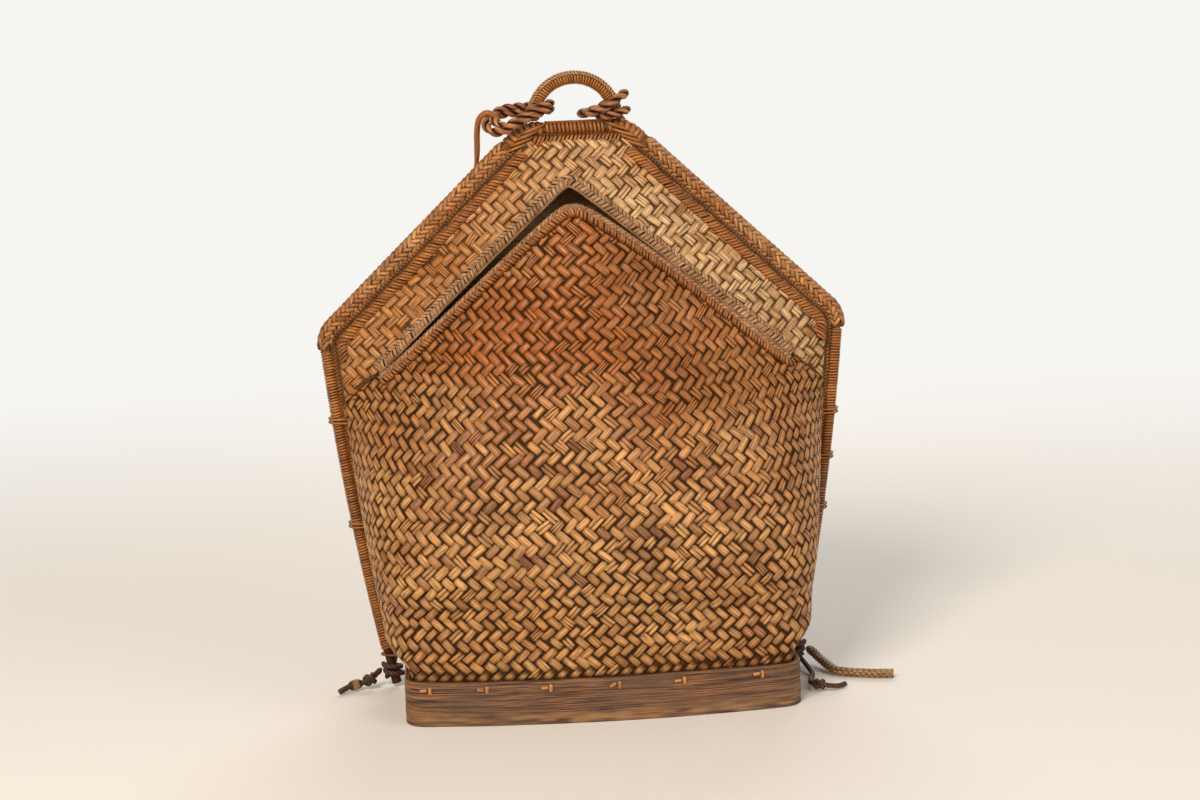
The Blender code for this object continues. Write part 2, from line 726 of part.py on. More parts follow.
def least_gap(rings, loop_points):
    """Least distance between points of a winding that lie on different turns."""
    stations, count = rings.shape[:2]
    flat = rings.reshape(-1, 3)
    station = np.repeat(np.arange(stations), count)
    least = math.inf
    for k in range(0, stations, 2):
        far = np.abs(station - k) > loop_points * 0.6
        if far.any():
            apart = np.linalg.norm(flat[far][:, None] - rings[k][None], axis=2)
            least = min(least, float(apart.min()))
    return least


def winding(name, line, core_radius, thickness, loops, slit, per_loop, crowned, material):
    """One flat strip wound round a line in the frontal plane, as one unbroken tube.

    Each point lies at radius / cos(half a step), so that the chords between points clear the core.
    """
    total = lengths_along(line)[-1]
    pitch = total / (loops + 1)
    width = pitch - slit
    middle = core_radius + GAP + thickness / 2
    steps = loops * per_loop + 1
    turns = np.arange(steps) / per_loop
    centres = at_lengths(line, pitch * (turns + 0.5))
    across, depth = frontal_axes(at_lengths(line, np.linspace(0.0, total, 4 * loops)))
    places = np.linspace(0.0, total, 4 * loops)
    across = unit(np.stack([np.interp(pitch * (turns + 0.5), places, across[:, k]) for k in range(3)], axis=1))
    depth = np.tile((0.0, 1.0, 0.0), (steps, 1))
    angle = 2 * math.pi * turns[:, None]
    outward = across * np.cos(angle) + depth * np.sin(angle)
    points = centres + outward * middle / math.cos(math.pi / per_loop)
    along = unit(np.cross(tangents(points), outward))
    profile = strip_profile(width, thickness, crowned)
    vertices, faces = swept(points, along, outward, profile)
    gap = least_gap(vertices.reshape(steps, -1, 3), per_loop)
    print(f"{name}: {loops} loops, least gap between turns {gap * 1000:.2f} mm")
    return add_solid(name, vertices, faces, material)


def side_name(side):
    return "left" if side < 0 else "right"


def make_side_binding(side, cane):
    half = frame_half()
    start = length_at_height(half, SIDE_BINDING_START_Z)
    end = length_at_height(half, BRAID_START_Z) - GAP
    line = frame_stations(start, end, CANE_RADIUS, side)
    return winding(
        f"side_binding_{side_name(side)}", line, CANE_RADIUS, STRIP_THICKNESS, SIDE_BINDING_LOOPS,
        SIDE_BINDING_SLIT, STRIP_POINTS_PER_LOOP, False, cane,
    )


def braid_end_length():
    half = frame_half()
    corner = lengths_along(half)[-1] - FRAME_TOP_HALF_WIDTH
    return corner - CORNER_LASHING_ON_SLOPE


def make_rim_braid(side, cane):
    half = frame_half()
    start = length_at_height(half, BRAID_START_Z)
    line = frame_stations(start, braid_end_length() - GAP, BRAID_RADIUS, side)
    line = np.concatenate((line[:9], line[9:-1:4], line[-1:]))
    across, depth = frontal_axes(line)
    bore = (CANE_RADIUS + GAP) / math.cos(math.pi / ROLL_SIDES)
    vertices, faces = sleeve(line, across, depth, BRAID_RADIUS, bore, ROLL_SIDES)
    return add_solid(f"rim_braid_{side_name(side)}", vertices, faces, cane)


def make_corner_lashing(side, cane):
    start = braid_end_length()
    length = CORNER_LASHING_ON_SLOPE + CORNER_LASHING_ON_BAR
    line = frame_stations(start, start + length, CANE_RADIUS / 2, side)
    return winding(
        f"corner_lashing_{side_name(side)}", line, CANE_RADIUS, STRIP_THICKNESS, CORNER_LASHING_LOOPS,
        CORNER_LASHING_SLIT, STRIP_POINTS_PER_LOOP, False, cane,
    )


def make_top_binding(cane):
    right = FRAME_TOP_HALF_WIDTH - CORNER_LASHING_ON_BAR - GAP
    line = np.linspace((-right, 0.0, FRAME_TOP_Z), (right, 0.0, FRAME_TOP_Z), 3)
    across, depth = frontal_axes(line)
    bore = (CANE_RADIUS + GAP) / math.cos(math.pi / ROLL_SIDES)
    vertices, faces = sleeve(line, across, depth, TOP_BINDING_RADIUS, bore, ROLL_SIDES)
    return add_solid("top_bar_binding", vertices, faces, cane)


def make_inner_rim(side, cane):
    """A coil-stitched ridge on the yoke, running beside the frame from shoulder to top."""
    line = inset_half(INNER_RIM_INSET)
    along = lengths_along(line)
    start = float(np.interp(FRAME_SHOULDER_Z - FRAME_SHOULDER_RADIUS, line[:, 1], along))
    end = along[-1] - FRAME_TOP_HALF_WIDTH
    flat = at_lengths(line, np.linspace(start, end, 18))
    step = INNER_RIM_WIDTH / 4
    leans = np.array([
        (yoke_y(x + step, z) - yoke_y(x - step, z), -2 * step, yoke_y(x, z + step) - yoke_y(x, z - step))
        for x, z in flat
    ])
    outward = unit(leans) * (side, 1.0, 1.0)
    seat = WALL / 2 + INNER_RIM_CLEARANCE
    surface = np.array([(side * x, yoke_y(x, z), z) for x, z in flat])
    points = surface + outward * seat
    across = unit(np.cross(tangents(points), outward))
    rim = INNER_RIM_WIDTH / 2
    shoulder = INNER_RIM_WIDTH * 0.34
    middle = INNER_RIM_HEIGHT * 0.6
    profile = ((-rim, 0.0), (rim, 0.0), (rim, middle), (shoulder, INNER_RIM_HEIGHT),
               (-shoulder, INNER_RIM_HEIGHT), (-rim, middle))
    vertices, faces = swept(points, across, outward, profile)
    return add_solid(f"inner_rim_{side_name(side)}", vertices, faces, cane)


def handle_line(count):
    """Arch of the handle: straight legs on the top bar and a half circle between them."""
    foot_z = FRAME_TOP_Z + TOP_BINDING_RADIUS + GAP
    centre_z = FRAME_TOP_Z + TOP_BINDING_RADIUS + GAP + HANDLE_RISE - HANDLE_HALF_SPAN
    angles = np.linspace(math.pi, 0.0, 41)
    arch = np.stack((HANDLE_HALF_SPAN * np.cos(angles), np.zeros(41),
                     centre_z + HANDLE_RISE * np.sin(angles)), axis=1)
    line = np.concatenate(([(-HANDLE_HALF_SPAN, 0.0, foot_z)], arch, [(HANDLE_HALF_SPAN, 0.0, foot_z)]))
    keep = np.concatenate(([True], np.linalg.norm(np.diff(line, axis=0), axis=1) > GAP))
    line = line[keep]
    return at_lengths(line, np.linspace(0.0, lengths_along(line)[-1], count))


def make_handle(cane):
    core = handle_line(17)
    across, depth = frontal_axes(core)
    vertices, faces = swept(core, across, depth, round_profile(HANDLE_CORE_RADIUS, CANE_SIDES))
    add_solid("handle_core", vertices, faces, cane)
    winding(
        "handle_wrap", handle_line(200), HANDLE_CORE_RADIUS, HANDLE_STRIP_THICKNESS, HANDLE_LOOPS,
        HANDLE_SLIT, HANDLE_POINTS_PER_LOOP, True, cane,
    )


def belt(first, first_radius, second, second_radius, turns):
    """Points of a belt laid round two circles in a level plane, one for each share of a turn."""
    facing = np.stack((np.cos(2 * math.pi * turns), np.sin(2 * math.pi * turns)), axis=1)
    reach_first = facing @ first + first_radius
    reach_second = facing @ second + second_radius
    on_first = (reach_first >= reach_second)[:, None]
    return np.where(on_first, first + facing * first_radius, second + facing * second_radius)


def strand(name, points, radius, sides, material, closed=False):
    across, upward = carried_axes(points, (0.0, 0.0, 1.0), closed)
    if closed:
        walk = tangents(points, closed)
        across = unit(np.cross(walk, mean_normal(points)))
        upward = np.cross(walk, across)
    vertices, faces = swept(points, across, upward, round_profile(radius, sides), closed)
    return add_solid(name, vertices, faces, material)


def mean_normal(points):
    centre = points.mean(axis=0)
    turned = np.cross(points - centre, np.roll(points, -1, axis=0) - centre)
    return unit(turned.sum(axis=0))


def lashing_frame(side, z):
    """Where a lashing at a height sits: the rod's centre and the hole in the body's edge."""
    half = frame_half()
    rod_x = float(np.interp(z, half[:, 1], half[:, 0]))
    hole_x = half_width(z) - ROD_LASHING_HOLE_INSET
    return side * rod_x, side * hole_x


def make_rod_lashing(name, side, z, cane):
    """Two turns round a rod and through a hole in the body's edge, as one unbroken strand."""
    rod_x, hole_x = lashing_frame(side, z)
    wound = CANE_RADIUS + GAP + STRIP_THICKNESS
    grow = 1 / math.cos(math.pi / STRAND_POINTS_PER_LOOP)
    rod_reach = (wound * 1.09 + GAP + ROD_LASHING_RADIUS) * grow
    steps = ROD_LASHING_LOOPS * STRAND_POINTS_PER_LOOP + 1
    turns = np.arange(steps) / STRAND_POINTS_PER_LOOP
    inner = WALL / 2 + GAP + 2 * ROD_LASHING_RADIUS
    eye = np.array((hole_x + side * inner, BACK_CENTRE_Y))
    flat = belt(np.array((rod_x, 0.0)), rod_reach, eye, inner, turns * side + 0.25)
    rise = z + ROD_LASHING_PITCH * (turns - ROD_LASHING_LOOPS / 2)
    points = np.column_stack((flat, rise))
    across, upward = carried_axes(points, (0.0, 0.0, 1.0))
    vertices, faces = swept(points, across, upward, round_profile(ROD_LASHING_RADIUS, 6))
    gap = least_gap(vertices.reshape(steps, -1, 3), STRAND_POINTS_PER_LOOP)
    print(f"{name}: {ROD_LASHING_LOOPS} loops, least gap between turns {gap * 1000:.2f} mm")
    return add_solid(name, vertices, faces, cane)


def box_corners(centre, axes, half_sizes):
    """Eight corners of a box from its centre, three axes and three half sizes."""
    signs = np.array([(a, b, c) for a in (-1, 1) for b in (-1, 1) for c in (-1, 1)])
    return np.asarray(centre) + (signs * half_sizes) @ np.asarray(axes)


BOX_FACES = ((0, 1, 3, 2), (4, 6, 7, 5), (0, 4, 5, 1), (2, 3, 7, 6), (0, 2, 6, 4), (1, 5, 7, 3))
LEVEL_AXES = ((1.0, 0.0, 0.0), (0.0, 1.0, 0.0), (0.0, 0.0, 1.0))


def make_cutter(name, boxes):
    """One hidden cutter that holds separate boxes, each given by its eight corners."""
    vertices = np.concatenate(boxes)
    faces = []
    for k in range(len(boxes)):
        faces += [tuple(8 * k + corner for corner in face) for face in BOX_FACES]
    mesh = bpy.data.meshes.new(name)
    mesh.from_pydata([tuple(point) for point in vertices], [], faces)
    shape = bmesh.new()
    shape.from_mesh(mesh)
    bmesh.ops.recalc_face_normals(shape, faces=shape.faces)
    shape.to_mesh(mesh)
    shape.free()
    cutter = bpy.data.objects.new(name, mesh)
    cutter.hide_render = True
    cutter.display_type = "WIRE"
    bpy.context.scene.collection.objects.link(cutter)
    return cutter


def cut(piece, cutter):
    modifier = piece.modifiers.new(cutter.name, "BOOLEAN")
    modifier.operation = "DIFFERENCE"
    modifier.solver = "EXACT"
    modifier.object = cutter


def lashing_cuts():
    """Cutter boxes for the rod lashings: a hole in the back panel, a notch in the pouch's edge."""
    holes = []
    notches = []
    room = ROD_LASHING_PITCH * ROD_LASHING_LOOPS / 2 + 2 * ROD_LASHING_RADIUS + GAP
    for side, heights in ((-1, LEFT_LASHING_HEIGHTS), (1, RIGHT_LASHING_HEIGHTS)):
        for z in heights:
            rod_x, hole_x = lashing_frame(side, z)
            wide = 2 * ROD_LASHING_RADIUS
            middle = (hole_x + side * GAP, BACK_CENTRE_Y, z)
            holes.append(box_corners(middle, LEVEL_AXES, (wide, WALL / 2 + CUT_OVERRUN / 2, room)))
            deep = 4 * ROD_LASHING_RADIUS + GAP
            edge = (side * half_width(z), POUCH_EDGE_Y - deep / 2 + GAP, z)
            notches.append(box_corners(edge, LEVEL_AXES, (WALL + CUT_OVERRUN, deep / 2 + GAP, room)))
    return holes, notches


def foot_lashing_route(side):
    """A level loop round the frame's foot and through the rear corner of the band."""
    half = frame_half()
    rod_x = float(np.interp(FOOT_LASHING_Z, half[:, 1], half[:, 0]))
    reach = CANE_RADIUS + 2 * FOOT_LASHING_RADIUS
    inside = BAND_HALF_WIDTH - BAND_THICKNESS - GAP - WALL - GAP - 2 * FOOT_LASHING_RADIUS
    hole_y = -(BAND_REAR_CORNER + 2 * FOOT_LASHING_RADIUS)
    hole_x = inside - FOOT_LASHING_RADIUS
    return np.array([
        (side * (rod_x + reach), 0.0), (side * rod_x, -reach), (side * BAND_HALF_WIDTH, hole_y),
        (side * inside, hole_y), (side * (hole_x - GAP), hole_y / 2), (side * hole_x, 0.0),
        (side * (hole_x + GAP), -hole_y / 2), (side * rod_x, reach),
    ])


def make_foot_lashing(side, cane):
    flat = foot_lashing_route(side)
    route = np.column_stack((flat, np.full(len(flat), FOOT_LASHING_Z)))
    points = curve_through(route, 18, closed=True)
    return strand(f"foot_lashing_{side_name(side)}", points, FOOT_LASHING_RADIUS, 6, cane, closed=True)


def foot_lashing_cuts():
    """Cutter boxes for the foot lashings: through the band's sides, and through its rear lath."""
    side_boxes = []
    rear_boxes = []
    room = 3 * FOOT_LASHING_RADIUS
    through = (BAND_THICKNESS + WALL + CUT_OVERRUN) / 2
    for side in (-1, 1):
        route = foot_lashing_route(side)
        beside = (side * (BAND_HALF_WIDTH - (BAND_THICKNESS + WALL) / 2), route[2, 1], FOOT_LASHING_Z)
        side_boxes.append(box_corners(beside, LEVEL_AXES, (through, room, room)))
        behind = (route[5, 0], (BAND_THICKNESS / 2 + POUCH_EDGE_Y) / 2, FOOT_LASHING_Z)
        rear_boxes.append(box_corners(behind, LEVEL_AXES, (room, through, room)))
    return side_boxes, rear_boxes


def stitch_frame(x, rear):
    """A stitch's place on the band's centre line, and the band's outward and level directions there."""
    if rear:
        return np.array((x, 0.0)), np.array((0.0, 1.0)), np.array((1.0, 0.0))
    meet, lean = band_tangent_x()
    y = -(BAND_DEPTH - BAND_THICKNESS / 2) + BAND_BOW * (x / meet) ** 2
    level = unit(np.array((1.0, 2 * BAND_BOW * x / meet ** 2)))
    return np.array((x, y)), np.array((level[1], -level[0])), level


def stitch_reach():
    """How far a stitch's runs lie outside and inside the band's centre line."""
    outside = BAND_THICKNESS / 2 + STITCH_PLAY + STITCH_THICKNESS / 2
    inside = BAND_THICKNESS / 2 + GAP + WALL + STITCH_SLACK + STITCH_THICKNESS / 2
    return outside, inside


def make_stitch(name, x, rear, cane):
    """A closed loop of split rattan through two holes, one above the other."""
    place, outward, level = stitch_frame(x, rear)
    outside, inside = stitch_reach()
    top = BAND_HEIGHT - STITCH_BELOW_EDGE + STITCH_HEIGHT / 2
    bottom = top - STITCH_HEIGHT
    half = STITCH_THICKNESS / 2
    loops = []
    for grow in (half, -half):
        loops.append([
            (-inside - grow, bottom - grow), (outside + grow, bottom - grow),
            (outside + grow, top + grow), (-inside - grow, top + grow),
        ])
    vertices = []
    for across in (-STITCH_WIDTH / 2, STITCH_WIDTH / 2):
        for loop in loops:
            for reach, z in loop:
                flat = place + outward * reach + level * across
                vertices.append((*flat, z))
    faces = []
    for k in range(4):
        beside = (k + 1) % 4
        faces.append((k, beside, beside + 4, k + 4))
        faces.append((k + 8, k + 12, beside + 12, beside + 8))
        faces.append((k, k + 8, beside + 8, beside))
        faces.append((k + 4, beside + 4, beside + 12, k + 12))
    return add_solid(name, vertices, faces, cane)


def stitch_cuts():
    boxes = []
    outside, inside = stitch_reach()
    top = BAND_HEIGHT - STITCH_BELOW_EDGE + STITCH_HEIGHT / 2
    for rear, places in ((False, FRONT_STITCHES_X), (True, REAR_STITCHES_X)):
        for x in places:
            place, outward, level = stitch_frame(x, rear)
            axes = ((*level, 0.0), (*outward, 0.0), (0.0, 0.0, 1.0))
            middle = place - outward * (inside - outside) / 2
            sizes = (
                STITCH_WIDTH / 2 + STITCH_PLAY,
                (inside + outside) / 2 + CUT_OVERRUN,
                STITCH_THICKNESS / 2 + STITCH_PLAY,
            )
            for z in (top, top - STITCH_HEIGHT):
                boxes.append(box_corners((*middle, z), axes, sizes))
    return boxes


def make_rope_links(rope):
    """The two rope links at the top, each one closed ring round a leg of the handle."""
    bar_top = FRAME_TOP_Z + TOP_BINDING_RADIUS
    leg = HANDLE_CORE_RADIUS + GAP + HANDLE_STRIP_THICKNESS
    beside = leg * 1.08 + ROPE_RADIUS + 2 * GAP
    left = (
        (-0.0165, 0.0000, bar_top + 0.0080), (-0.0205, -beside * 0.8, bar_top + 0.0072),
        (-0.0300, -beside, bar_top + 0.0045), (-0.0415, -0.0108, bar_top - 0.0015),
        (-0.0520, -0.0095, bar_top - 0.0058), (-0.0590, -0.0040, bar_top - 0.0035),
        (-0.0600, 0.0030, bar_top + 0.0010), (-0.0535, 0.0082, bar_top + 0.0050),
        (-0.0415, 0.0098, bar_top + 0.0062), (-0.0300, beside, bar_top + 0.0066),
        (-0.0205, beside * 0.8, bar_top + 0.0076),
    )
    right = (
        (0.0050, 0.0000, bar_top + 0.0046), (0.0105, -0.0066, bar_top + 0.0046),
        (0.0200, -beside, bar_top + 0.0078), (0.0285, -beside, bar_top + 0.0130),
        (0.0338, -0.0040, bar_top + 0.0162), (0.0345, 0.0030, bar_top + 0.0164),
        (0.0290, beside, bar_top + 0.0135), (0.0200, beside, bar_top + 0.0082),
        (0.0105, 0.0066, bar_top + 0.0048),
    )
    for side, route, stations in ((-1, left, 30), (1, right, 22)):
        points = curve_through(route, stations, closed=True)
        strand(f"strap_knot_{side_name(side)}", points, ROPE_RADIUS, 8, rope, closed=True)


def strap_ends(side):
    top = np.array(STRAP_LEFT_TOP if side < 0 else STRAP_RIGHT_TOP)
    foot = np.array((side * STRAP_FOOT_X, STRAP_FOOT_Y, STRAP_FOOT_Z))
    return top, foot


def make_hooks(cane):
    """Bent cane pieces that join the straps' upper ends to the rope links."""
    for side in (-1, 1):
        top, foot = strap_ends(side)
        axis = unit(top - foot)
        start = top + axis * GAP
        bar_top = FRAME_TOP_Z + TOP_BINDING_RADIUS
        if side < 0:
            route = (start, start + axis * HOOK_WIDTH, (-0.0672, 0.0070, 0.3760),
                     (-0.0668, 0.0040, 0.3870), (-0.0650, 0.0014, bar_top + 0.0030),
                     (-0.0598, 0.0002, bar_top + 0.0072), (-0.0545, -0.0004, bar_top + 0.0050),
                     (-0.0520, -0.0006, bar_top + 0.0006))
        else:
            route = (start, start + axis * HOOK_WIDTH, (0.0400, 0.0130, 0.3790),
                     (0.0345, 0.0140, 0.3890), (0.0280, 0.0143, bar_top + 0.0060),
                     (0.0240, 0.0143, bar_top + 0.0110))
        points = curve_through(route, 22)
        walk = tangents(points)
        wide = unit(np.tile((0.0, 1.0, 0.0), (len(points), 1)) - walk * walk[:, 1:2])
        if side > 0:
            wide = unit(np.cross(walk, (0.0, 1.0, 0.0)))
        thin = np.cross(walk, wide)
        share = smooth_step(lengths_along(points) / (3 * HOOK_WIDTH))[:, None, None]
        narrow = round_profile(STRAP_END_WIDTH / 2, 6)
        flat = np.stack((narrow[:, 0] * HOOK_WIDTH / STRAP_END_WIDTH,
                         narrow[:, 1] * HOOK_THICKNESS / STRAP_END_WIDTH), axis=1)
        profile = narrow[None] * (1 - share) + flat[None] * share
        vertices, faces = swept(points, wide, thin, profile)
        add_solid(f"strap_hook_{side_name(side)}", vertices, faces, cane)


def make_strap(side, cane):
    """A plaited shoulder strap, bowed out behind the back, with a round cord at each end."""
    top, foot = strap_ends(side)
    chord = foot - top
    straight_share = STRAP_STRAIGHT_END / np.linalg.norm(chord)
    share = np.concatenate(([0.0], np.linspace(straight_share, 1 - straight_share, 23), [1.0]))
    points = top + chord * share[:, None]
    bent = np.clip((share - straight_share) / (1 - 2 * straight_share), 0.0, 1.0)
    points[:, 1] += STRAP_BOW * np.sin(math.pi * bent) ** 1.3
    wide = np.tile(unit(np.cross(chord, (0.0, 1.0, 0.0))), (len(points), 1))
    thin = unit(np.cross(wide, tangents(points)))
    taper_share = 0.22
    fullness = smooth_step(share / taper_share) * smooth_step((1 - share) / taper_share)
    width = STRAP_END_WIDTH + (STRAP_WIDTH - STRAP_END_WIDTH) * fullness
    thickness = STRAP_END_THICKNESS + (STRAP_THICKNESS - STRAP_END_THICKNESS) * fullness
    shape_shares = np.array(((-0.5, 0.0), (-0.38, -0.5), (0.38, -0.5), (0.5, 0.0), (0.38, 0.5), (-0.38, 0.5)))
    profile = shape_shares[None] * np.stack((width, thickness), axis=1)[:, None]
    vertices, faces = swept(points, wide, thin, profile)
    return add_solid(f"strap_{side_name(side)}", vertices, faces, cane, origin=top)


def make_foot_tie(side, cord):
    """Two turns of dark cord round the bare foot of a rod."""
    half = frame_half()
    steps = TIE_LOOPS * STRAND_POINTS_PER_LOOP + 1
    turns = np.arange(steps) / STRAND_POINTS_PER_LOOP
    rise = TIE_START_Z + TIE_PITCH * turns
    centre = np.interp(rise, half[:, 1], half[:, 0])
    reach = (CANE_RADIUS + GAP + TIE_RADIUS) / math.cos(math.pi / STRAND_POINTS_PER_LOOP)
    angle = 2 * math.pi * turns
    flat_x = side * (centre + reach * np.cos(angle))
    points = np.stack((flat_x, reach * np.sin(angle), rise), axis=1)
    across, upward = carried_axes(points, (0.0, 0.0, 1.0))
    vertices, faces = swept(points, across, upward, round_profile(TIE_RADIUS, 6))
    name = f"foot_tie_{side_name(side)}"
    gap = least_gap(vertices.reshape(steps, -1, 3), STRAND_POINTS_PER_LOOP)
    print(f"{name}: {TIE_LOOPS} loops, least gap between turns {gap * 1000:.2f} mm")
    return add_solid(name, vertices, faces, cord)


def make_cord(name, route, radius, count, material):
    """A free cord: a tube along a smooth curve through its route."""
    points = curve_through(route, count)
    curve = bpy.data.curves.new(name, "CURVE")
    curve.dimensions = "3D"
    curve.bevel_depth = radius
    curve.bevel_resolution = 2
    curve.use_fill_caps = True
    line = curve.splines.new("POLY")
    line.points.add(count - 1)
    for point, place in zip(line.points, points):
        point.co = (*place, 1.0)
    line.use_smooth = True
    curve.materials.append(material)
    cord = bpy.data.objects.new(name, curve)
    bpy.context.scene.collection.objects.link(cord)
    print(f"{name}: {lengths_along(points)[-1] * 1000:.1f} mm long")
    return points


def make_lump(name, points, place_share, length, radius, bore, material):
    """A knot or bead on a cord: a barrel with a bore that the cord passes through."""
    along = lengths_along(points)
    middle = along[-1] * place_share
    line = at_lengths(points, middle + length * np.linspace(-0.5, 0.5, 5))
    across, upward = carried_axes(line, (0.0, 0.0, 1.0))
    hole = (bore + GAP) / math.cos(math.pi / 8)
    swell_shares = np.array((0.0, 0.8, 1.0, 0.8, 0.0))
    outer = hole + LUMP_RIM + (radius - hole - LUMP_RIM) * swell_shares
    rings = []
    for reach in (outer, np.full(5, hole)):
        profile = round_profile(1.0, 8)[None] * reach[:, None, None]
        ring, faces = swept(line, across, upward, profile)
        rings.append(ring)
    sleeve_faces = sleeve(line, across, upward, radius, hole, 8)[1]
    return add_solid(name, np.concatenate(rings), sleeve_faces, material)


def make_tails(cord, pale, bead):
    left = make_cord("tie_tail_left", TAIL_LEFT_ROUTE, TAIL_LEFT_RADIUS, 9, cord)
    make_lump("tie_knot_left", left, 0.30, 0.0085, 0.0054, TAIL_LEFT_RADIUS, cord)
    make_lump("tie_bead_left", left, 0.62, 0.0100, 0.0040, TAIL_LEFT_RADIUS, bead)
    right = make_cord("tie_tail_right", TAIL_RIGHT_ROUTE, TAIL_RIGHT_RADIUS, 17, cord)
    make_lump("tie_knot_right", right, 0.735, 0.0090, 0.0044, TAIL_RIGHT_RADIUS, cord)
    make_cord("strap_tail_right", BRAIDED_TAIL_ROUTE, BRAIDED_TAIL_RADIUS, 9, pale)


def build():
    clear_scene()
    honey = finish("Plaited rattan", (0.46, 0.22, 0.065), 0.55)
    pale = finish("Bleached rattan", (0.52, 0.31, 0.13), 0.60)
    orange = finish("Split rattan binding", (0.38, 0.15, 0.04), 0.50)
    wood = finish("Weathered wood", (0.17, 0.10, 0.06), 0.75)
    rope = finish("Twisted rattan rope", (0.24, 0.12, 0.055), 0.60)
    dark = finish("Dark tarred cord", (0.07, 0.035, 0.02), 0.65)

    band = make_foot_band(wood)
    pouch_points = pouch_grid()
    yoke_points = yoke_grid()
    pouch = make_pouch(pouch_points, honey)
    make_yoke(yoke_points, pale)
    back = make_back_panel(honey)
    make_floor_panel(honey)
    make_edge_binding("lip_roll", pouch_points, -1, -2, orange)
    make_edge_binding("mouth_binding", yoke_points, 0, 1, pale)

    make_frame_cane(orange)
    make_top_binding(orange)
    for side in (-1, 1):
        make_side_binding(side, orange)
        make_rim_braid(side, pale)
        make_corner_lashing(side, orange)
        make_inner_rim(side, orange)
        make_foot_lashing(side, rope)
        make_foot_tie(side, dark)
        make_strap(side, pale)
        for number, z in enumerate(LEFT_LASHING_HEIGHTS if side < 0 else RIGHT_LASHING_HEIGHTS, 1):
            make_rod_lashing(f"rod_lashing_{side_name(side)}_{number}", side, z, orange)
    make_handle(orange)
    make_rope_links(rope)
    make_hooks(orange)
    make_tails(dark, pale, orange)

    for number, x in enumerate(FRONT_STITCHES_X, 1):
        make_stitch(f"base_stitch_front_{number}", x, False, pale)
    for number, x in enumerate(REAR_STITCHES_X, 1):
        make_stitch(f"base_stitch_rear_{number}", x, True, pale)
    stitch_holes = make_cutter("stitch_holes", stitch_cuts())
    side_boxes, rear_boxes = foot_lashing_cuts()
    side_holes = make_cutter("foot_lashing_side_holes", side_boxes)
    rear_holes = make_cutter("foot_lashing_rear_holes", rear_boxes)
    holes, notches = lashing_cuts()
    panel_holes = make_cutter("rod_lashing_holes", holes)
    edge_notches = make_cutter("rod_lashing_notches", notches)
    for piece in (band, pouch, back):
        cut(piece, stitch_holes)
    for piece in (band, pouch):
        cut(piece, side_holes)
    for piece in (band, back):
        cut(piece, rear_holes)
    cut(back, panel_holes)
    cut(pouch, edge_notches)


build()
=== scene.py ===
# %% [markdown]
# # A plaited rattan pack basket
# The real object is a back basket: a body plaited from split rattan in a herringbone twill, set in a
# bent cane frame, standing on a bent-wood hoop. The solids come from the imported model, and this
# lesson dresses them. Almost every surface here is worked out with numpy as a whole array, because
# a plait is a rule repeated over a surface and arrays state that rule directly.

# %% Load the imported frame
import math

import bpy
import numpy as np
from mathutils import Matrix, Vector


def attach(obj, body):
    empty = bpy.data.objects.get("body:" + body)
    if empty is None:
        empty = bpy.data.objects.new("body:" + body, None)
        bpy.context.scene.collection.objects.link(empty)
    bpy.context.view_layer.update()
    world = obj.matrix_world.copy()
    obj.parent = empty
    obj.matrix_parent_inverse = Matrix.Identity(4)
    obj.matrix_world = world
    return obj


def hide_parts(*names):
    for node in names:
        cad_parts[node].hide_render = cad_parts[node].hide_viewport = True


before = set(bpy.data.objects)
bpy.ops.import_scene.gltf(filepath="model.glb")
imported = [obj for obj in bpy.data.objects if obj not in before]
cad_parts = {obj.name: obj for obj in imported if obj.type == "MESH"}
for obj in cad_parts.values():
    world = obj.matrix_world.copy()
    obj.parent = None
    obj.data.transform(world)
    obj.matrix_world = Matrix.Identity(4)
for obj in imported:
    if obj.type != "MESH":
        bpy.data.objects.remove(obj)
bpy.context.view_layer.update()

print("nodes in the frame:", len(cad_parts))

# %% [markdown]
# The camera stands 1.6 m in front of the basket, 9 degrees above its middle, and is rolled by two
# degrees, because the real basket leans a little on its worn foot. The focal length is given in
# pixels of a 1200 pixel wide picture and turned into millimetres on the sensor.

# %% Camera
camera_distance = 1.60
camera_target = Vector((0.0066, -0.0600, 0.2072))
camera_azimuth = math.radians(-3.55)
camera_elevation = math.radians(9.0)
camera_roll = math.radians(2.17)
focal_pixels = 2380.0
picture_width = 1200.0

back = Vector((
    math.sin(camera_azimuth) * math.cos(camera_elevation),
    -math.cos(camera_azimuth) * math.cos(camera_elevation),
    math.sin(camera_elevation),
))
level_right = (-back).cross(Vector((0.0, 0.0, 1.0))).normalized()
level_up = level_right.cross(-back)
right = level_right * math.cos(camera_roll) - level_up * math.sin(camera_roll)
up = level_right * math.sin(camera_roll) + level_up * math.cos(camera_roll)
camera_data = bpy.data.cameras.new("camera")
camera_data.lens = focal_pixels / picture_width * camera_data.sensor_width
camera_data.clip_start = 0.05
camera = bpy.data.objects.new("camera", camera_data)
turned = Matrix((right, up, back)).transposed().to_4x4()
camera.matrix_world = Matrix.Translation(camera_target + back * camera_distance) @ turned
bpy.context.scene.collection.objects.link(camera)
bpy.context.scene.camera = camera
print(f"lens: {camera_data.lens:.1f} mm")

# %% [markdown]
# A few helpers come first. Colours are written as sRGB hex, as a paint card gives them, and one
# function turns them into the linear light that a shader works in.

# %% Colour and node helpers
def linear(hex_colour):
    """Linear light from sRGB hex: ((c + 0.055) / 1.055) ** 2.4, or c / 12.92 where c is very dark."""
    channels = np.array([int(hex_colour[k:k + 2], 16) for k in (1, 3, 5)]) / 255
    bright = ((channels + 0.055) / 1.055) ** 2.4
    return (*np.where(channels > 0.04045, bright, channels / 12.92), 1.0)


mix_share, mix_first, mix_second, mix_result = 0, 6, 7, 2


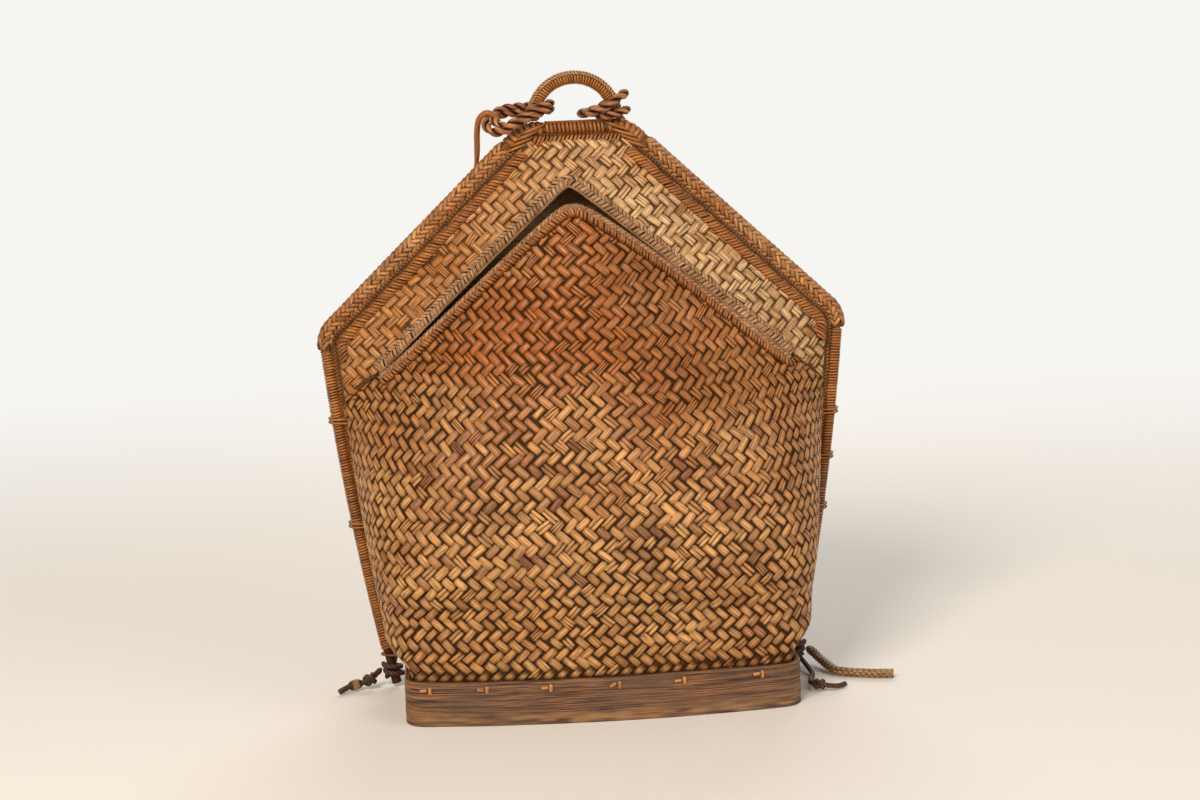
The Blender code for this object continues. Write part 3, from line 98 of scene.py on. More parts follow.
def add_node(tree, kind, inputs=(), **settings):
    """One shader node with its settings, and its inputs given as values or as links."""
    node = tree.nodes.new(kind)
    for name, value in settings.items():
        setattr(node, name, value)
    for socket, value in dict(inputs).items():
        if isinstance(value, bpy.types.NodeSocket):
            tree.links.new(value, node.inputs[socket])
        else:
            node.inputs[socket].default_value = value
    return node


def new_material(name):
    """A material with nodes, its node tree, and the one shader in the tree."""
    made = bpy.data.materials.new(name)
    made.use_nodes = True
    return made, made.node_tree, made.node_tree.nodes["Principled BSDF"]


def look_and_grain(tree, scale):
    """A piece's look as three sockets, and its grain with each direction scaled to one fibre."""
    look = add_node(tree, "ShaderNodeAttribute", attribute_name="look")
    split = add_node(tree, "ShaderNodeSeparateColor", {0: look.outputs["Color"]})
    grain = add_node(tree, "ShaderNodeAttribute", attribute_name="grain")
    scaled = add_node(tree, "ShaderNodeMapping", {"Vector": grain.outputs["Vector"], "Scale": scale})
    return split.outputs, scaled.outputs[0]


print("honey in linear light:", [round(float(c), 3) for c in linear("#C08A48")])

# %% [markdown]
# Shapes are grids of points. One helper joins a grid by quads, one closes a tube's ends, and one
# makes the mesh. It measures the signed volume of the closed shape, and turns the faces round when
# that is negative, so that they always point outwards.

# %% Mesh helpers
def unit(vectors):
    """Vectors divided by their own lengths."""
    return vectors / np.maximum(np.linalg.norm(vectors, axis=-1, keepdims=True), 1e-12)


def smooth_step(share):
    """3 s^2 - 2 s^3, which rises from 0 to 1 with level ends."""
    share = np.clip(share, 0.0, 1.0)
    return share * share * (3.0 - 2.0 * share)


def grid_quads(rows, columns, wrap_rows=False, wrap_columns=False):
    """Corner numbers of the quads between neighbours of a grid whose points are numbered by rows."""
    i = np.arange(rows if wrap_rows else rows - 1)[:, None]
    j = np.arange(columns if wrap_columns else columns - 1)[None, :]
    after, beside = (i + 1) % rows, (j + 1) % columns
    corners = (i * columns + j, i * columns + beside, after * columns + beside, after * columns + j)
    return np.stack(np.broadcast_arrays(*corners), axis=-1).reshape(-1, 4)


def tube_quads(stations, sides, closed=False):
    """Quads of a tube with an even number of sides. Open ends are closed by a fan of quads."""
    quads = grid_quads(stations, sides, wrap_rows=closed, wrap_columns=True)
    if closed:
        return quads
    fan = np.arange(0, sides - 2, 2)
    ring = np.stack((np.zeros_like(fan), fan + 1, fan + 2, fan + 3), axis=1)
    start = (sides - 1) - ring
    return np.concatenate((quads, start, ring + (stations - 1) * sides))


def repeated(quads, points_each, copies):
    """The same quads for each of many copies whose points follow each other."""
    return (quads[None] + (np.arange(copies) * points_each)[:, None, None]).reshape(-1, 4)


def triples(*parts):
    """Three numbers for every point, spread to one shape and held together in the last axis."""
    return np.stack(np.broadcast_arrays(*parts), axis=-1)


def add_piece(name, made, material, replaced=(), body="basket"):
    """A smooth mesh piece that rides on a body. What is made is its points, quads, look and grain.

    Signed volume is the sum of a . (b x c) / 6 over the triangles of all quads.
    """
    points, look, grain = (np.asarray(made[k], dtype=float).reshape(-1, 3) for k in (0, 2, 3))
    quads = made[1]
    a, b, c, d = (points[quads[:, k]] for k in range(4))
    volume = np.sum(a * np.cross(b, c) + a * np.cross(c, d)) / 6
    if volume < 0:
        quads = quads[:, ::-1]
    mesh = bpy.data.meshes.new(name)
    mesh.from_pydata(points, [], quads.tolist())
    mesh.shade_smooth()
    colours = np.column_stack((look, np.ones(len(points))))
    mesh.attributes.new("look", "FLOAT_COLOR", "POINT").data.foreach_set("color", colours.ravel())
    mesh.attributes.new("grain", "FLOAT_VECTOR", "POINT").data.foreach_set("vector", grain.ravel())
    mesh.materials.append(material)
    piece = bpy.data.objects.new(name, mesh)
    bpy.context.scene.collection.objects.link(piece)
    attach(piece, body)
    if replaced:
        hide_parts(*replaced)
    print(f"{name}: {2 * len(quads)} triangles, {abs(volume) * 1e6:.1f} cm3")
    return piece


def dress(solid, ending, made, material, body="basket"):
    """A piece that takes the place of one solid, and whose name is the solid's with an ending."""
    return add_piece(f"{solid}_{ending}", made, material, (solid,), body)


def joined(shapes):
    """Several made shapes as one: their points follow each other and their quads are renumbered."""
    starts = np.cumsum([0] + [shape[0].size // 3 for shape in shapes])
    quads = np.concatenate([shape[1] + start for shape, start in zip(shapes, starts)])
    points, look, grain = (np.concatenate([shape[k].reshape(-1, 3) for shape in shapes]) for k in (0, 2, 3))
    return points, quads, look, grain


# %% [markdown]
# Lines need their lengths measured and points placed along them, and every hand-made surface needs
# slow, smooth randomness. Noise here is a fixed table of random numbers, blended smoothly between
# neighbours, so that it is the same on every run.

# %% Line and noise helpers
def lengths_along(points):
    """Distance of each point from the line's start, as running sums of its steps."""
    steps = np.linalg.norm(np.diff(points, axis=0), axis=1)
    return np.concatenate(([0.0], np.cumsum(steps)))


def along_line(data, along, wanted):
    """Data known at distances along a line, read at any number of wanted distances."""
    return np.stack([np.interp(wanted, along, column) for column in data.T], axis=-1)


def at_lengths(points, wanted):
    """Points of a line at wanted distances along it."""
    return along_line(points, lengths_along(points), wanted)


def even_points(points, spacing):
    """The line again, with points a spacing apart."""
    total = lengths_along(points)[-1]
    return at_lengths(points, np.linspace(0.0, total, max(2, int(round(total / spacing)) + 1)))


def tangents(points, closed=False):
    """Unit directions along a line, from the points on either side."""
    if closed:
        return unit(np.roll(points, -1, axis=0) - np.roll(points, 1, axis=0))
    return unit(np.gradient(points, axis=0))


def curve_through(route, spacing, closed=False):
    """A Catmull-Rom curve through a route: each span is a cubic set by the two points either side."""
    route = np.asarray(route, dtype=float)
    if closed:
        padded = np.concatenate((route[-1:], route, route[:2]))
    else:
        padded = np.concatenate((2 * route[:1] - route[1:2], route, 2 * route[-1:] - route[-2:-1]))
    t = np.linspace(0.0, 1.0, 24, endpoint=False)[None, :, None]
    a, b, c, d = (padded[k:len(padded) - 3 + k, None] for k in range(4))
    cubic = 2 * b + (c - a) * t + (2 * a - 5 * b + 4 * c - d) * t ** 2 + (3 * b - a - 3 * c + d) * t ** 3
    dense = np.concatenate((0.5 * cubic.reshape(-1, 3), padded[-2:-1]))
    total = lengths_along(dense)[-1]
    count = max(4, int(round(total / spacing)))
    return at_lengths(dense, np.linspace(0.0, total, count + 1))[:count if closed else count + 1]


noise_table = np.random.default_rng(11).random((96, 96))


def noise(x, y):
    """Smooth noise from -1 to 1 that changes over about one unit of x and of y."""
    i, j = np.floor(x).astype(int), np.floor(y).astype(int)
    fx, fy = smooth_step(x - i), smooth_step(y - j)
    near = noise_table[i % 96, j % 96] * (1 - fy) + noise_table[i % 96, (j + 1) % 96] * fy
    far = noise_table[(i + 1) % 96, j % 96] * (1 - fy) + noise_table[(i + 1) % 96, (j + 1) % 96] * fy
    return 2 * (near * (1 - fx) + far * fx) - 1


print("noise at one place:", round(float(noise(np.array(0.3), np.array(0.7))), 3))

# %% [markdown]
# ## Stage and light
# A pale floor and broad soft lamps stand for a plain studio. The world shows a white background to the
# camera, and to reflections and clear things, but gives the object only soft fill light. Far from the
# basket the floor fades into the same white for them, so there is no horizon line. Near it, the floor
# keeps its shadow.

# %% Floor, world and lamps
def ray_is_seen(tree):
    """A socket that is 1 for rays of the camera, in reflections and through clear things."""
    rays = add_node(tree, "ShaderNodeLightPath")
    seen = rays.outputs["Is Camera Ray"]
    for kind in ("Is Glossy Ray", "Is Transmission Ray"):
        larger = add_node(tree, "ShaderNodeMath", {0: seen, 1: rays.outputs[kind]}, operation="MAXIMUM")
        seen = larger.outputs[0]
    return seen


backdrop_white = linear("#F7F5F2")
floor_material, floor_tree, floor_shader = new_material("pale matte floor")
floor_shader.inputs["Base Color"].default_value = linear("#E9E2D8")
floor_shader.inputs["Roughness"].default_value = 0.9
floor_half = 8.0
floor_mesh = bpy.data.meshes.new("floor")
floor_corners = [(-floor_half, -floor_half, 0.0), (floor_half, -floor_half, 0.0),
                 (floor_half, floor_half, 0.0), (-floor_half, floor_half, 0.0)]
floor_mesh.from_pydata(floor_corners, [], [(0, 1, 2, 3)])
floor_mesh.materials.append(floor_material)
floor = bpy.data.objects.new("floor", floor_mesh)
bpy.context.scene.collection.objects.link(floor)

world = bpy.data.worlds.new("soft room")
bpy.context.scene.world = world
world.use_nodes = True
world_tree = world.node_tree
world_tree.nodes.clear()
room_light = add_node(world_tree, "ShaderNodeBackground", {"Color": linear("#F4F1EC"), "Strength": 0.34})
white_back = add_node(world_tree, "ShaderNodeBackground", {"Color": backdrop_white, "Strength": 1.0})
sky = add_node(world_tree, "ShaderNodeMixShader", {
    0: ray_is_seen(world_tree), 1: room_light.outputs[0], 2: white_back.outputs[0],
})
add_node(world_tree, "ShaderNodeOutputWorld", {"Surface": sky.outputs[0]})

fade_start, fade_end = 0.35, 1.7
floor_place = add_node(floor_tree, "ShaderNodeNewGeometry")
floor_distance = add_node(floor_tree, "ShaderNodeVectorMath", {
    0: floor_place.outputs["Position"],
}, operation="LENGTH")
fade = add_node(floor_tree, "ShaderNodeMapRange", {
    "Value": floor_distance.outputs["Value"], "From Min": fade_start, "From Max": fade_end,
}, interpolation_type="SMOOTHSTEP")
faded = add_node(floor_tree, "ShaderNodeMath", {
    0: ray_is_seen(floor_tree), 1: fade.outputs[0],
}, operation="MULTIPLY")
far_white = add_node(floor_tree, "ShaderNodeEmission", {"Color": backdrop_white, "Strength": 1.0})
floor_mix = add_node(floor_tree, "ShaderNodeMixShader", {
    0: faded.outputs[0], 1: floor_shader.outputs[0], 2: far_white.outputs[0],
})
floor_tree.links.new(floor_mix.outputs[0], floor_tree.nodes["Material Output"].inputs["Surface"])


def add_lamp(name, place, aim, size, power, colour):
    """A square area lamp at a place, facing a point."""
    data = bpy.data.lights.new(name, "AREA")
    data.size = size
    data.energy = power
    data.color = linear(colour)[:3]
    lamp = bpy.data.objects.new(name, data)
    lamp.matrix_world = (
        Matrix.Translation(place)
        @ (Vector(aim) - Vector(place)).to_track_quat("-Z", "Y").to_matrix().to_4x4()
    )
    bpy.context.scene.collection.objects.link(lamp)


basket_middle = (0.0, -0.05, 0.20)
add_lamp("key lamp", (-0.8, -1.7, 1.50), basket_middle, size=0.8, power=43.0, colour="#FFF6EA")
add_lamp("fill lamp", (1.5, -1.4, 0.8), basket_middle, size=1.2, power=14.0, colour="#F3F6FF")
add_lamp("rear lamp", (0.3, 1.8, 1.3), basket_middle, size=1.3, power=20.0, colour="#FFFFFF")
bpy.context.scene.view_settings.view_transform = "Standard"

# %% [markdown]
# ## The three free cords
# The ties at the feet end in short loose tails, and one strap ends in a plaited tail. Each is a tube
# along a smooth curve that lies on the floor. A twisted or plaited cord can be modelled strand by
# strand, but one skin whose radius rises and falls over the strands shows the same thing in one
# closed mesh, and it is easy to measure.

# %% Tube with a patterned skin
frontal, upright = np.array((0.0, 1.0, 0.0)), np.array((0.0, 0.0, 1.0))


def side_axes(points, reference, closed=False):
    """Two axes square to a line at each point: tangent x reference, and tangent x that axis."""
    walk = tangents(points, closed)
    across = unit(np.cross(walk, np.broadcast_to(reference, points.shape)))
    return across, np.cross(walk, across)


def twisted_skin(radius, strands, pitch, groove):
    """Radius at angle a and distance s: R (1 - groove (1 - |cos(n/2 (a - 2 pi s / pitch))|^0.6))."""
    def skin(angle, distance):
        phase = strands / 2 * (angle - 2 * np.pi * distance / pitch)
        return radius * (1 - groove * (1 - np.abs(np.cos(phase)) ** 0.6))
    return skin


def plaited_skin(radius, strands, pitch, groove):
    """Two twists of opposite hand take turns on top: the larger of two crossing waves."""
    def skin(angle, distance):
        turn = 2 * np.pi * distance / pitch
        first = np.abs(np.cos(strands / 2 * (angle - turn)))
        second = np.abs(np.cos(strands / 2 * (angle + turn)))
        over = 0.5 + 0.5 * np.cos(strands * angle)
        return radius * (1 - groove * (1 - np.maximum(first * over, second * (1 - over))))
    return skin


def skinned_tube(line, axes, skin, sides, closed=False):
    """Points of a tube: line + (across cos a + upward sin a) times the skin's radius there."""
    across, upward = axes
    distance = lengths_along(line)[:, None]
    angle = np.linspace(0.0, 2 * np.pi, sides, endpoint=False)[None]
    radius = skin(angle, distance)[..., None]
    facing = across[:, None] * np.cos(angle)[..., None] + upward[:, None] * np.sin(angle)[..., None]
    deepest = radius.max()
    # painted shade: the skin darkens with the depth of its grooves between strands
    shade_and_dirt = np.clip((deepest - radius[..., 0]) / (0.25 * deepest), 0.0, 1.0)
    tone = 0.5 + 0.5 * noise(distance / 0.006 + 7 * np.sin(angle), distance / 0.013)
    grain = triples(distance, radius[..., 0] * np.cos(angle), radius[..., 0] * np.sin(angle))
    return (line[:, None] + facing * radius, tube_quads(len(line), sides, closed),
            triples(tone, 0.0, shade_and_dirt), grain)


def tube_along(line, reference, skin, sides):
    """An open tube whose two axes are square to its line, the first also to a reference direction."""
    return skinned_tube(line, side_axes(line, reference), skin, sides)


three_strands = twisted_skin(1.0, strands=3, pitch=8.0, groove=0.3)
print("skin of a three-strand cord at two angles:",
      [round(float(three_strands(angle, 0.0)), 2) for angle in (0.0, 1.05)])

# %% [markdown]
# Rattan is the skin and core of a climbing palm. Split, it has a smooth, slightly waxy face with fine
# fibres along it, honey when new and orange to dark brown with age and smoke. One material tree
# serves all of it: the piece's look attribute says how aged and how orange each point is, and how
# much of a dark colour it takes. That dark colour is partly dirt and partly painted shade in gaps,
# grooves and edges. Its grain attribute runs along the strip, so the fibres follow every strip.

# %% Rattan finishes
fibre_pitch, fibre_length, fibre_relief = 0.00085, 0.012, 0.00016
mottle_size = 0.035


def rattan(name, light, aged, orange, shade_and_dirt, roughness, waxy=0.12):
    """A rattan finish: mixes four colours by the look attribute, with fibres along the grain."""
    made, tree, shader = new_material(name)
    shader.inputs["IOR"].default_value = 1.5
    shader.inputs["Coat Roughness"].default_value = 0.35
    look, grain = look_and_grain(tree, (1 / fibre_length, 1 / fibre_pitch, 1 / fibre_pitch))
    fibres = add_node(tree, "ShaderNodeTexNoise", {"Vector": grain, "Scale": 1.0, "Detail": 3.0})
    place = add_node(tree, "ShaderNodeTexCoord")
    mottle = add_node(tree, "ShaderNodeTexNoise", {
        "Vector": place.outputs["Object"], "Scale": 1 / mottle_size, "Detail": 4.0, "Roughness": 0.65,
    })
    age = add_node(tree, "ShaderNodeMath", {
        0: mottle.outputs[0], 1: 1.1, 2: -0.55,
    }, operation="MULTIPLY_ADD")
    aged_share = add_node(tree, "ShaderNodeMath", {
        0: look[0], 1: age.outputs[0],
    }, operation="ADD", use_clamp=True)
    base = add_node(tree, "ShaderNodeMix", {
        mix_share: aged_share.outputs[0], mix_first: linear(light), mix_second: linear(aged),
    }, data_type="RGBA")
    warmed = add_node(tree, "ShaderNodeMix", {
        mix_share: look[1], mix_first: base.outputs[mix_result], mix_second: linear(orange),
    }, data_type="RGBA")
    streak = add_node(tree, "ShaderNodeMapRange", {
        "Value": fibres.outputs[0], "From Min": 0.38, "From Max": 0.60, "To Min": 0.50, "To Max": 1.14,
    })
    streaked = add_node(tree, "ShaderNodeVectorMath", {
        0: warmed.outputs[mix_result], "Scale": streak.outputs[0],
    }, operation="SCALE")
    # the third look channel mixes in the dark colour: real dirt, and painted shade in the gaps, grooves and
    # edges
    soil_and_shade = add_node(tree, "ShaderNodeMath", {0: look[2], 1: 0.92}, operation="MULTIPLY")
    soiled_and_shaded = add_node(tree, "ShaderNodeMix", {
        mix_share: soil_and_shade.outputs[0], mix_first: streaked.outputs[0], mix_second: linear(shade_and_dirt),
    }, data_type="RGBA")
    rough = add_node(tree, "ShaderNodeMapRange", {
        "Value": fibres.outputs[0], "From Min": 0.3, "From Max": 0.7,
        "To Min": roughness + 0.14, "To Max": roughness - 0.06,
    })
    bump = add_node(tree, "ShaderNodeBump", {
        "Height": fibres.outputs[0], "Strength": 1.0, "Distance": fibre_relief,
    })
    shine = add_node(tree, "ShaderNodeMapRange", {"Value": look[2], "To Min": 0.38, "To Max": 0.04})
    coat = add_node(tree, "ShaderNodeMapRange", {
        "Value": look[2], "From Max": 0.4, "To Min": waxy, "To Max": 0.0,
    })
    tree.links.new(soiled_and_shaded.outputs[mix_result], shader.inputs["Base Color"])
    tree.links.new(shine.outputs[0], shader.inputs["Specular IOR Level"])
    tree.links.new(coat.outputs[0], shader.inputs["Coat Weight"])
    tree.links.new(rough.outputs[0], shader.inputs["Roughness"])
    tree.links.new(bump.outputs[0], shader.inputs["Normal"])
    return made


honey_plait = rattan("smoked split rattan, plaited", light="#DEA260", aged="#86522C",
                     orange="#A65A14", shade_and_dirt="#260F05", roughness=0.42, waxy=0.07)
pale_plait = rattan("sun-bleached split rattan, plaited", light="#E8BC84", aged="#A6743E",
                    orange="#B46A20", shade_and_dirt="#341C0C", roughness=0.48, waxy=0.07)
binding_skin = rattan("split rattan skin, bound", light="#BC7832", aged="#703E18",
                      orange="#9E5816", shade_and_dirt="#1C0B04", roughness=0.42)
border_skin = rattan("worn pale rattan border", light="#C49668", aged="#865836",
                     orange="#9A5E2A", shade_and_dirt="#241106", roughness=0.56)
rope_twist = rattan("twisted rattan rope", light="#BE7C46", aged="#744220",
                    orange="#96541E", shade_and_dirt="#160903", roughness=0.50)
dark_twist = rattan("dark smoked cord", light="#6A4630", aged="#3A2416",
                    orange="#52301A", shade_and_dirt="#140A05", roughness=0.60, waxy=0.0)
# its light colour is set high, which paints in light on the basket's inside seen through the mouth
shadow_plait = rattan("old rattan, inner face", light="#B48452", aged="#5A3A1E",
                      orange="#7A4A20", shade_and_dirt="#1C0D05", roughness=0.70, waxy=0.0)
print("finishes:", [m.name for m in bpy.data.materials])

# %% [markdown]
# The routes below are the same points as the solids' own, so each cord lies where its solid lies.
# A tail's length is what the photograph shows, because each is seen from end to end.

# %% Tails on the floor
tail_left_radius, tail_right_radius, plaited_tail_radius = 0.0021, 0.0018, 0.0034
tail_left_route = (
    (-0.1514, -0.0004, 0.0121), (-0.1530, -0.0005, 0.0118), (-0.1582, -0.0044, 0.0080),
    (-0.1630, -0.0064, 0.0060), (-0.1690, -0.0076, 0.0050), (-0.1750, -0.0110, 0.0040),
    (-0.1805, -0.0160, 0.0026),
)
tail_right_route = (
    (0.1428, -0.0084, 0.0108), (0.1448, -0.0135, 0.0085), (0.1490, -0.0240, 0.0036),
    (0.1496, -0.0360, 0.0022), (0.1462, -0.0500, 0.0024), (0.1452, -0.0620, 0.0038),
    (0.1500, -0.0720, 0.0051), (0.1560, -0.0735, 0.0043), (0.1625, -0.0690, 0.0026),
    (0.1680, -0.0635, 0.0022),
)
plaited_tail_route = (
    (0.1525, 0.0008, 0.0098), (0.1546, 0.0004, 0.0096), (0.1600, -0.0140, 0.0058),
    (0.1660, -0.0310, 0.0036), (0.1760, -0.0400, 0.0035), (0.1900, -0.0455, 0.0035),
    (0.2045, -0.0485, 0.0035),
)


def add_tail(name, route, radius, skin, material):
    """A free cord's tube, with rings 0.5 mm apart. Returns the piece and its centre line."""
    line = curve_through(route, 0.0005)
    piece = dress(name, "twist", tube_along(line, upright, skin, sides=18), material)
    print(f"{name}: {lengths_along(line)[-1] * 1000:.1f} mm long, {2000 * radius:.1f} mm thick")
    return piece, line


left_skin = twisted_skin(tail_left_radius, strands=3, pitch=0.009, groove=0.24)
right_skin = twisted_skin(tail_right_radius, strands=3, pitch=0.008, groove=0.24)
plait_skin = plaited_skin(plaited_tail_radius, strands=4, pitch=0.016, groove=0.28)
left_tail, left_line = add_tail("tie_tail_left", tail_left_route, tail_left_radius, left_skin, dark_twist)
right_tail, right_line = add_tail("tie_tail_right", tail_right_route, tail_right_radius, right_skin,
                                  dark_twist)
strap_tail, strap_tail_line = add_tail("strap_tail_right", plaited_tail_route, plaited_tail_radius,
                                       plait_skin, pale_plait)


# %% [markdown]
# A knot in a tail is the cord wrapped over itself. A trefoil, the closed form of an overhand knot,
# gives its three crossing lobes from three sines, and the tail runs through its middle.

# %% Knots and the bead
def add_knot(name, line, place_share, length, width, cord_radius):
    """A trefoil round the tail: x = sin t + 2 sin 2t, y = cos t - 2 cos 2t, z = -sin 3t."""
    t = np.linspace(0.0, 2 * np.pi, 121)[:-1]
    flat = np.stack((np.sin(t) + 2 * np.sin(2 * t), np.cos(t) - 2 * np.cos(2 * t)), axis=1) / 3
    depth = -np.sin(3 * t)
    total = lengths_along(line)[-1]
    middle, ahead = at_lengths(line, np.array((total * place_share, total * place_share + 0.001)))
    axis = unit(ahead - middle)
    beside = unit(np.cross(axis, upright))
    over = np.cross(beside, axis)
    reach, half_long = width / 2 - cord_radius, length / 2 - cord_radius
    # the lobes lie along the tail, so the knot is longer than it is wide
    path = (middle + axis * (flat[:, :1] * half_long) + beside * (flat[:, 1:] * reach)
            + over * (depth[:, None] * cord_radius * 1.1))
    walk = tangents(path, closed=True)
    across = unit(np.cross(walk, over))
    skin = twisted_skin(cord_radius, strands=3, pitch=lengths_along(path)[-1] / 5, groove=0.22)
    made = skinned_tube(path, (across, np.cross(walk, across)), skin, sides=12, closed=True)
    return dress(name, "twist", made, dark_twist)


left_knot = add_knot("tie_knot_left", left_line, place_share=0.30, length=0.0115, width=0.0108,
                     cord_radius=0.0019)
right_knot = add_knot("tie_knot_right", right_line, place_share=0.735, length=0.0110, width=0.0092,
                      cord_radius=0.0017)

bead_length, bead_radius, bead_share = 0.0100, 0.0040, 0.62
bead_middle = lengths_along(left_line)[-1] * bead_share
bead_line = at_lengths(left_line, bead_middle + bead_length * np.linspace(-0.5, 0.5, 31))
bead_pattern = plaited_skin(1.0, strands=6, pitch=0.011, groove=0.16)


def bead_skin(angle, distance):
    """A plaited sleeve that swells in the middle: R sqrt(1 - 0.75 (2 s / length - 1)^2)."""
    swell = np.sqrt(1 - 0.75 * (2 * distance / bead_length - 1) ** 2)
    return bead_radius * bead_pattern(angle, distance) * np.clip(swell, 0.5, 1.0)


bead_made = tube_along(bead_line, upright, bead_skin, sides=24)
left_bead = dress("tie_bead_left", "plait", bead_made, pale_plait)

# %% [markdown]
# ## The frame line and the body's surface
# Every binding follows the bent cane frame, and every plaited wall follows the body's section, so
# both are stated once. The frame's right half is a bowed side, a shoulder bend, a straight slope and
# a top bend. The body's section at a height is a soft box, depth (1 - u^a)^b, whose powers and depth
# change smoothly with height.

# %% Frame line
band_height, band_thickness, band_half_width, band_depth, band_bow = 0.030, 0.004, 0.1334, 0.115, 0.010
band_front_corner, band_rear_corner = 0.014, 0.0045
wall, gap = 0.0022, 0.0003
cane_radius = 0.0034
frame_foot, frame_shoulder = np.array((0.1408, 0.003)), np.array((0.178, 0.252))
frame_corner, top_z = np.array((0.0356, 0.387)), 0.387
side_bow, shoulder_radius, top_bend_radius = 0.004, 0.018, 0.018
body_inset = 0.0064


def fillet(before, corner, after, radius, count):
    """The arc that rounds a corner: start + into r sin(a) + inward r (1 - cos(a))."""
    into, out = unit(np.subtract(corner, before)), unit(np.subtract(after, corner))
    turn = math.acos(float(np.clip(into.dot(out), -1.0, 1.0)))
    start = np.asarray(corner) - into * radius * math.tan(turn / 2)
    inward = unit(out - into * into.dot(out))
    angle = np.linspace(0.0, turn, count)[:, None]
    return start + into * radius * np.sin(angle) + inward * radius * (1 - np.cos(angle))


share = np.linspace(0.0, 1.0, 60)[:, None]
side_run = frame_shoulder - frame_foot
side_line = (frame_foot + side_run * share
             + unit(side_run[::-1] * (1, -1)) * 4 * side_bow * share * (1 - share))
shoulder_bend = fillet(side_line[-2], frame_shoulder, frame_corner, shoulder_radius, 15)
nearer = np.linalg.norm(shoulder_bend[0] - frame_shoulder)
side_line = side_line[np.linalg.norm(side_line - frame_shoulder, axis=1) > nearer]
top_bend = fillet(frame_shoulder, frame_corner, (0.0, top_z), top_bend_radius, 12)
slope_line = np.linspace(shoulder_bend[-1], top_bend[0], 30)[1:-1]
half_frame = np.concatenate((side_line, shoulder_bend, slope_line, top_bend,
                             np.linspace(top_bend[-1], (0.0, top_z), 6)[1:]))
frame_length = lengths_along(half_frame)[-1]
left_and_right = ((-1, "left"), (1, "right"))


def both_sides(half):
    """A whole line, from its right half that starts low down: the mirrored half, then the half back."""
    return np.concatenate((half * (-1, 1), half[-2::-1]))


def inset_frame(distance):
    """The half frame line moved inwards, square to itself."""
    walk = unit(np.gradient(half_frame, axis=0))
    return half_frame + np.stack((-walk[:, 1], walk[:, 0]), axis=1) * distance


def length_at_height(z):
    """Distance along the frame from a foot to a height."""
    return float(np.interp(z, half_frame[:, 1], lengths_along(half_frame)))


def frame_run(start, end, spacing, side):
    """Points of the frame's line in space between two distances from a foot, on one side."""
    flat = at_lengths(half_frame, np.linspace(start, end, max(3, int(round((end - start) / spacing)) + 1)))
    return triples(side * flat[:, 0], 0.0, flat[:, 1])


print(f"frame: {2 * frame_length * 1000:.0f} mm of cane")

# %% Body surface
body_bottom, body_depth, flare_height = 0.003, 0.118, 0.024
back_y = -(band_thickness / 2 + gap + wall / 2)
pouch_edge_y = back_y - wall / 2 - gap
yoke_edge_y = pouch_edge_y - wall / 2
band_reach = band_half_width - band_thickness / 2


def band_meet():
    """Where the bowed front meets its corner, by a few rounds of substitution, and its lean there."""
    meet = band_reach - band_front_corner
    for _ in range(4):
        lean = math.atan(2 * band_bow / meet)
        meet = band_reach - band_front_corner * math.tan((math.pi / 2 - lean) / 2) * math.cos(lean)
    return meet, lean


base_width = band_half_width - band_thickness - gap - wall / 2
base_depth = band_depth - band_thickness - gap - wall / 2
base_bow = band_bow * (base_width / band_meet()[0]) ** 2
body_edge = inset_frame(body_inset)
body_top_z = top_z - body_inset
pouch_heights = (0.19, 0.26, 0.41, 0.584, 0.73, 0.877, 1.0)
pouch_depths = (0.975, 1.0, 0.955, 0.81, 0.66, 0.49, 0.40)
yoke_heights = (0.19, 0.26, 0.41, 0.584, 0.66, 0.745, 0.904, 0.983)
yoke_depths = (0.975, 1.0, 0.955, 0.81, 0.62, 0.43, 0.235, 0.060)
square_heights, square_values = (0.13, 0.26, 0.41, 0.584, 1.0), (24.0, 8.0, 4.6, 3.2, 2.0, 2.0)
round_values = (1 / 24, 0.13, 0.26, 0.50, 1.2, 1.2)


def smooth_line(places, values, wanted):
    """A cubic through values at rising places, whose slopes are those of the neighbouring values."""
    places, values = np.asarray(places, dtype=float), np.asarray(values, dtype=float)
    slopes = np.gradient(values, places)
    wanted = np.clip(wanted, places[0], places[-1])
    first = np.clip(np.searchsorted(places, wanted) - 1, 0, len(places) - 2)
    span = places[first + 1] - places[first]
    t = (wanted - places[first]) / span
    return ((1 + 2 * t) * (1 - t) ** 2 * values[first] + t * (1 - t) ** 2 * span * slopes[first]
            + t * t * (3 - 2 * t) * values[first + 1] + t * t * (t - 1) * span * slopes[first + 1])


def above_band(height_shares):
    """Heights given as shares of the frame's height, led by the band's top edge."""
    return np.concatenate(([band_height], np.array(height_shares) * top_z))


def half_width(z):
    """How far the body reaches either side: narrow in the band, then beside the frame."""
    rising = body_edge[:, 1] < body_top_z - gap
    free = np.interp(z, body_edge[rising, 1], body_edge[rising, 0])
    return base_width + (free - base_width) * smooth_step((z - band_height) / flare_height)


def depth_at(z, height_shares, depth_shares):
    """The body's depth at a height."""
    depths = np.concatenate(([base_depth], np.array(depth_shares) * body_depth))
    return smooth_line(above_band(height_shares), depths, z)


def section_powers(z):
    """The two powers a and b of the section depth (1 - u^a)^b at a height."""
    heights = above_band(square_heights)
    return smooth_line(heights, square_values, z), smooth_line(heights, round_values, z)


peak_x, peak_z, end_x, end_z = -0.007, 0.350, 0.141, 0.2285
mouth_rounding, lip_rounding = 0.004, 0.010
lip_drop_peak, lip_drop_end = 0.0105, 0.0054
seam_width, seam_closing = 0.0016, 0.010
arm_tuck, tuck_height = 0.009, 0.085


def mouth_z(x):
    """Height of the mouth's upper edge: a chevron of two hyperbola arms, rounded at its peak."""
    reach = np.abs(np.where(x >= peak_x, end_x, -end_x) - peak_x)
    run = np.hypot(reach, mouth_rounding) - mouth_rounding
    fall = (peak_z - end_z) / run
    return peak_z - fall * (np.hypot(x - peak_x, mouth_rounding) - mouth_rounding)


